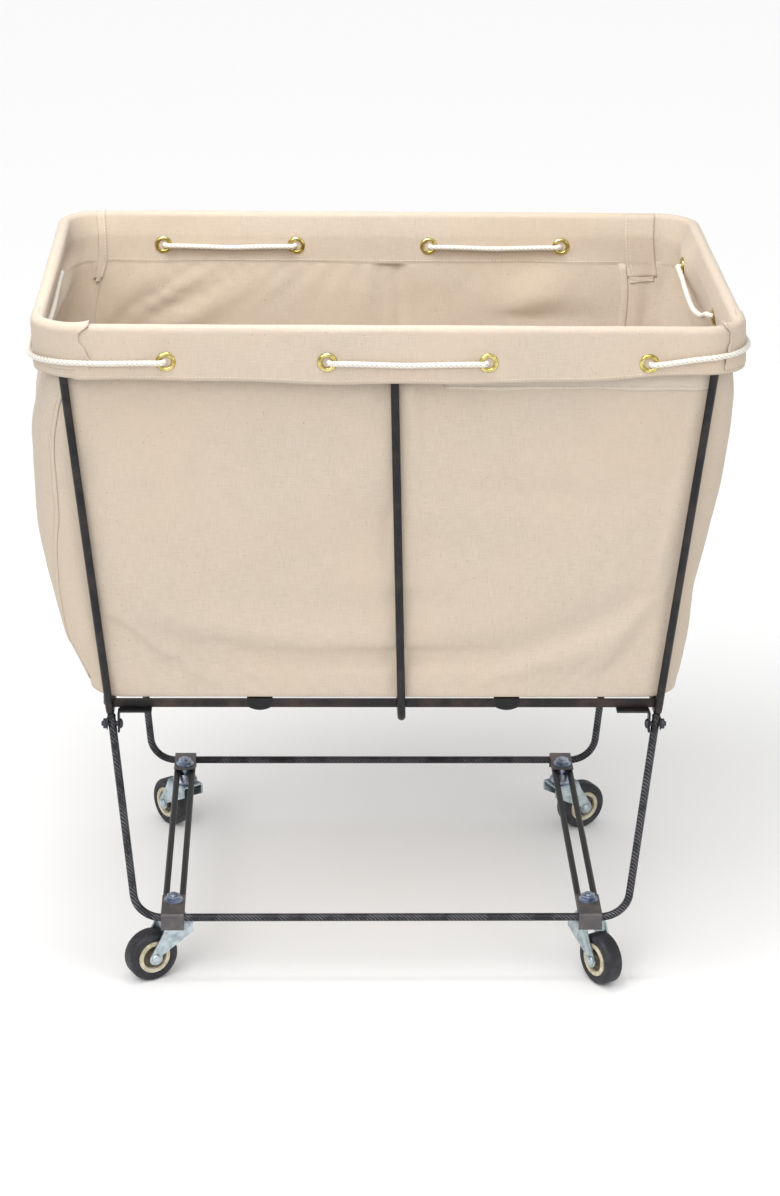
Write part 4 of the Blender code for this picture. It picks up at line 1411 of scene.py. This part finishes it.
def fork_outline():
    """The yoke from the side, as (along the trail, height) points."""
    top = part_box("caster_front_left_fork")[1].z
    trail, eye_z, eye = 0.0313, 0.03175, 0.0085
    back = [(0.0, top - 0.0300), (-0.0185, top - 0.0150), (-0.0185, top - 0.0001), (0.0, top)]
    front = [(0.0, top), (0.0190, top), (0.0210, top - 0.009), (trail + eye, eye_z + 0.004)]
    points = bent_path(back, 0.0015, 4)[1:] + bent_path(front, 0.0025, 5)[1:-1]
    for step in range(17):
        angle = math.radians(18 - 216 * step / 16)
        points.append((trail + eye * math.cos(angle), eye_z + eye * math.sin(angle)))
    return points


def fork_points():
    """The yoke's cheeks and top: a bent plate drawn as two skins joined along the outline."""
    outer, inner = 0.01575, 0.01325
    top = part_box("caster_front_left_fork")[1].z
    outline_points = fork_outline()
    points, faces = [], []
    count = len(outline_points)
    for side in (-1, 1):
        base = len(points)
        for reach in (outer, inner):
            for u, z in outline_points:
                drop = 0.0022 if z > top - 0.0030 else 0.0
                points.append(Vector((u, side * reach, z - drop)))
        faces.extend(tuple(base + index for index in face) for face in loops_to_faces(2, count, False))
    base = len(points)
    section = [
        (outer, top - 0.0045), (outer - 0.0005, top - 0.0016),
        (outer - 0.0018, top - 0.0003), (outer - 0.0035, top)]
    under = [(inner - 0.0008, top - 0.0028), (inner, top - 0.0045)]
    ring = section + [(-y, z) for y, z in section[::-1]] + [(-y, z) for y, z in under[::-1]] + under
    for u in (-0.0185, 0.0188):
        for y, z in ring:
            points.append(Vector((u, y, z)))
    faces.extend(tuple(base + index for index in face) for face in loops_to_faces(2, len(ring), False))
    return points, faces


def tyre_points():
    width = 0.0230
    inner, outer = 0.0208, 0.03175
    side = [(inner, -width / 2 + 0.0012), (inner + 0.002, -width / 2 + 0.0004), (outer - 0.0062, -width / 2)]
    side += arc(outer - 0.0052, -width / 2 + 0.0052, 0.0052, 270, 352, 8)
    side += [(outer, -width / 2 + 0.0085)]
    return turned_mesh(mirrored(side), 72, around=True)


def hub_points():
    """The pale rim of the wheel centre, on both sides."""
    side = [
        (0.0146, -0.0080), (0.0150, -0.0114), (0.0158, -0.0121),
        (0.0192, -0.0121), (0.0202, -0.0114), (0.0205, -0.0100)]
    return turned_mesh(mirrored(side), 64, around=True)


def web_points():
    """The recessed brown web and the raised boss round the axle."""
    side = [
        (0.0043, -0.0118), (0.0072, -0.0118), (0.0076, -0.0112),
        (0.0080, -0.0082), (0.0100, -0.0076), (0.0145, -0.0080)]
    return turned_mesh(mirrored(side), 64, around=True)


def axle_points():
    out = 0.0160
    head = [
        (0.0012, -out - 0.0027), (0.0034, -out - 0.0024), (0.0054, -out - 0.0014),
        (0.0062, -out - 0.0002), (0.0062, -out), (0.0040, -out)]
    return turned_mesh(mirrored(head), 40)


def casters():
    """The same six pieces at each corner, turned as the corner's wheel stands at rest."""
    lay = Matrix.Rotation(math.pi / 2, 4, "X")
    parts = (           # node, piece, points and faces, finish, slot, body, smoothing angle
        ("stem", "stem_zinc", stem_points(), "zinc_nut", "zinc", "frame", 35),
        ("fork", "fork_zinc", fork_points(), "zinc", "zinc", "fork", 30),
        ("axle", "axle_zinc", axle_points(), "zinc", "zinc", "fork", 35),
        ("hub", "hub_rim", hub_points(), "hub", "hub", "wheel", 35),
        (None, "hub_web", web_points(), "web", "hub", "wheel", 35),
        ("tyre", "tyre_rubber", tyre_points(), "tyre", "tyre", "wheel", 35),
    )
    for corner in CORNERS:
        base = f"caster_{corner}"
        bolt = middle(f"{base}_stem")
        wheel = Vector(joint(f"roll_{corner}")["pos_m"])
        trail = wheel - Vector((bolt.x, bolt.y, wheel.z))
        turn = Matrix.Rotation(math.atan2(trail.y, trail.x), 4, "Z")
        at_bolt = Matrix.Translation((bolt.x, bolt.y, 0))
        at_wheel = Matrix.Translation(wheel) @ turn @ lay
        places = {"stem": at_bolt, "fork": at_bolt @ turn}
        for node, name, (points, faces), finish, slot, body, smooth in parts:
            rides = body if body == "frame" else f"{body}_{corner}"
            replaced = f"{base}_{node}" if node else None
            points = placed(points, places.get(node, at_wheel))
            piece = make(f"{base}_{name}", points, faces, finish, rides, smooth, replaced)
            if node == "fork":
                soften(piece, 0.0004)


# --- stage, light and camera

def stage():
    mesh = bpy.data.meshes.new("floor")
    reach = 30.0
    corners = [(-reach, -reach, 0), (reach, -reach, 0), (reach, reach, 0), (-reach, reach, 0)]
    mesh.from_pydata(corners, [], [(0, 1, 2, 3)])
    floor = add_object("floor", mesh)
    n = Nodes("floor")
    n.shader(Base_Color=(0.97, 0.97, 0.97, 1.0), Roughness=0.9)
    mesh.materials.append(n.made)


def lamp(name, kind, power, direction, place=(0, 0, 0)):
    """A light at a place, shining in a direction."""
    data = bpy.data.lights.new(name, kind)
    data.energy = power
    made = add_object(name, data)
    made.location = place
    made.rotation_euler = direction.to_track_quat("-Z", "Y").to_euler()
    return data


def area_light(name, place, target, size, power):
    data = lamp(name, "AREA", power, Vector(target) - Vector(place), place)
    data.shape = "RECTANGLE"
    data.size, data.size_y = size


def sky():
    """Soft white light, brighter overhead than at the sides."""
    world = bpy.data.worlds.new("studio")
    world.use_nodes = True
    tree = world.node_tree
    place = tree.nodes.new("ShaderNodeTexCoord")
    split = tree.nodes.new("ShaderNodeSeparateXYZ")
    ramp = tree.nodes.new("ShaderNodeMapRange")
    tree.links.new(place.outputs["Generated"], split.inputs[0])
    tree.links.new(split.outputs["Z"], ramp.inputs["Value"])
    ramp.inputs["To Min"].default_value = 0.52
    ramp.inputs["To Max"].default_value = 0.78
    tree.links.new(ramp.outputs["Result"], tree.nodes["Background"].inputs["Strength"])
    tree.nodes["Background"].inputs["Color"].default_value = (1.0, 1.0, 1.0, 1.0)
    bpy.context.scene.world = world


def light():
    sky()
    sun = lamp("sun", "SUN", 1.35, -Vector((-0.40, -1.0, 1.05)))
    sun.angle = math.radians(60)
    area_light("overhead", (-0.24, -0.22, 1.65), target=(0.05, 0.06, 0.6), size=(0.7, 0.3), power=9.5)
    area_light("key", (-1.5, -2.4, 2.4), target=(0, 0, 0.5), size=(1.6, 1.2), power=13)
    area_light("fill", (2.2, -2.2, 1.4), target=(0, 0, 0.5), size=(1.4, 1.4), power=9)


CAMERA_PLACE = (-0.1022, -3.4698, 1.7953)
CAMERA_YAW = -0.0329
CAMERA_PITCH = 0.3789
CAMERA_ROLL = 0.0138
CAMERA_LENS = 91.07


def camera():
    ahead = Vector((
        -math.sin(CAMERA_YAW) * math.cos(CAMERA_PITCH), math.cos(CAMERA_YAW) * math.cos(CAMERA_PITCH),
        -math.sin(CAMERA_PITCH)))
    right = Vector((math.cos(CAMERA_YAW), math.sin(CAMERA_YAW), 0))
    up = right.cross(ahead)
    side = math.cos(CAMERA_ROLL) * right + math.sin(CAMERA_ROLL) * up
    top = math.cos(CAMERA_ROLL) * up - math.sin(CAMERA_ROLL) * right
    data = bpy.data.cameras.new("camera")
    data.lens = CAMERA_LENS
    data.sensor_width = 36.0
    data.clip_start = 0.05
    view = add_object("camera", data)
    turn = Matrix((side, top, -ahead)).transposed().to_4x4()
    view.matrix_world = Matrix.Translation(CAMERA_PLACE) @ turn
    bpy.context.scene.camera = view


# --- making

camera()
light()
stage()
bpy.context.scene.view_settings.view_transform = "Standard"
canvas_bag()
trimmings()
grommets()
drawcord()
top_ring()
hoops()
legs()
tack_welds()
base_bar()
straps()
corner_brackets()
caster_brackets()
leg_bolts()
casters()

bpy.context.view_layer.update()
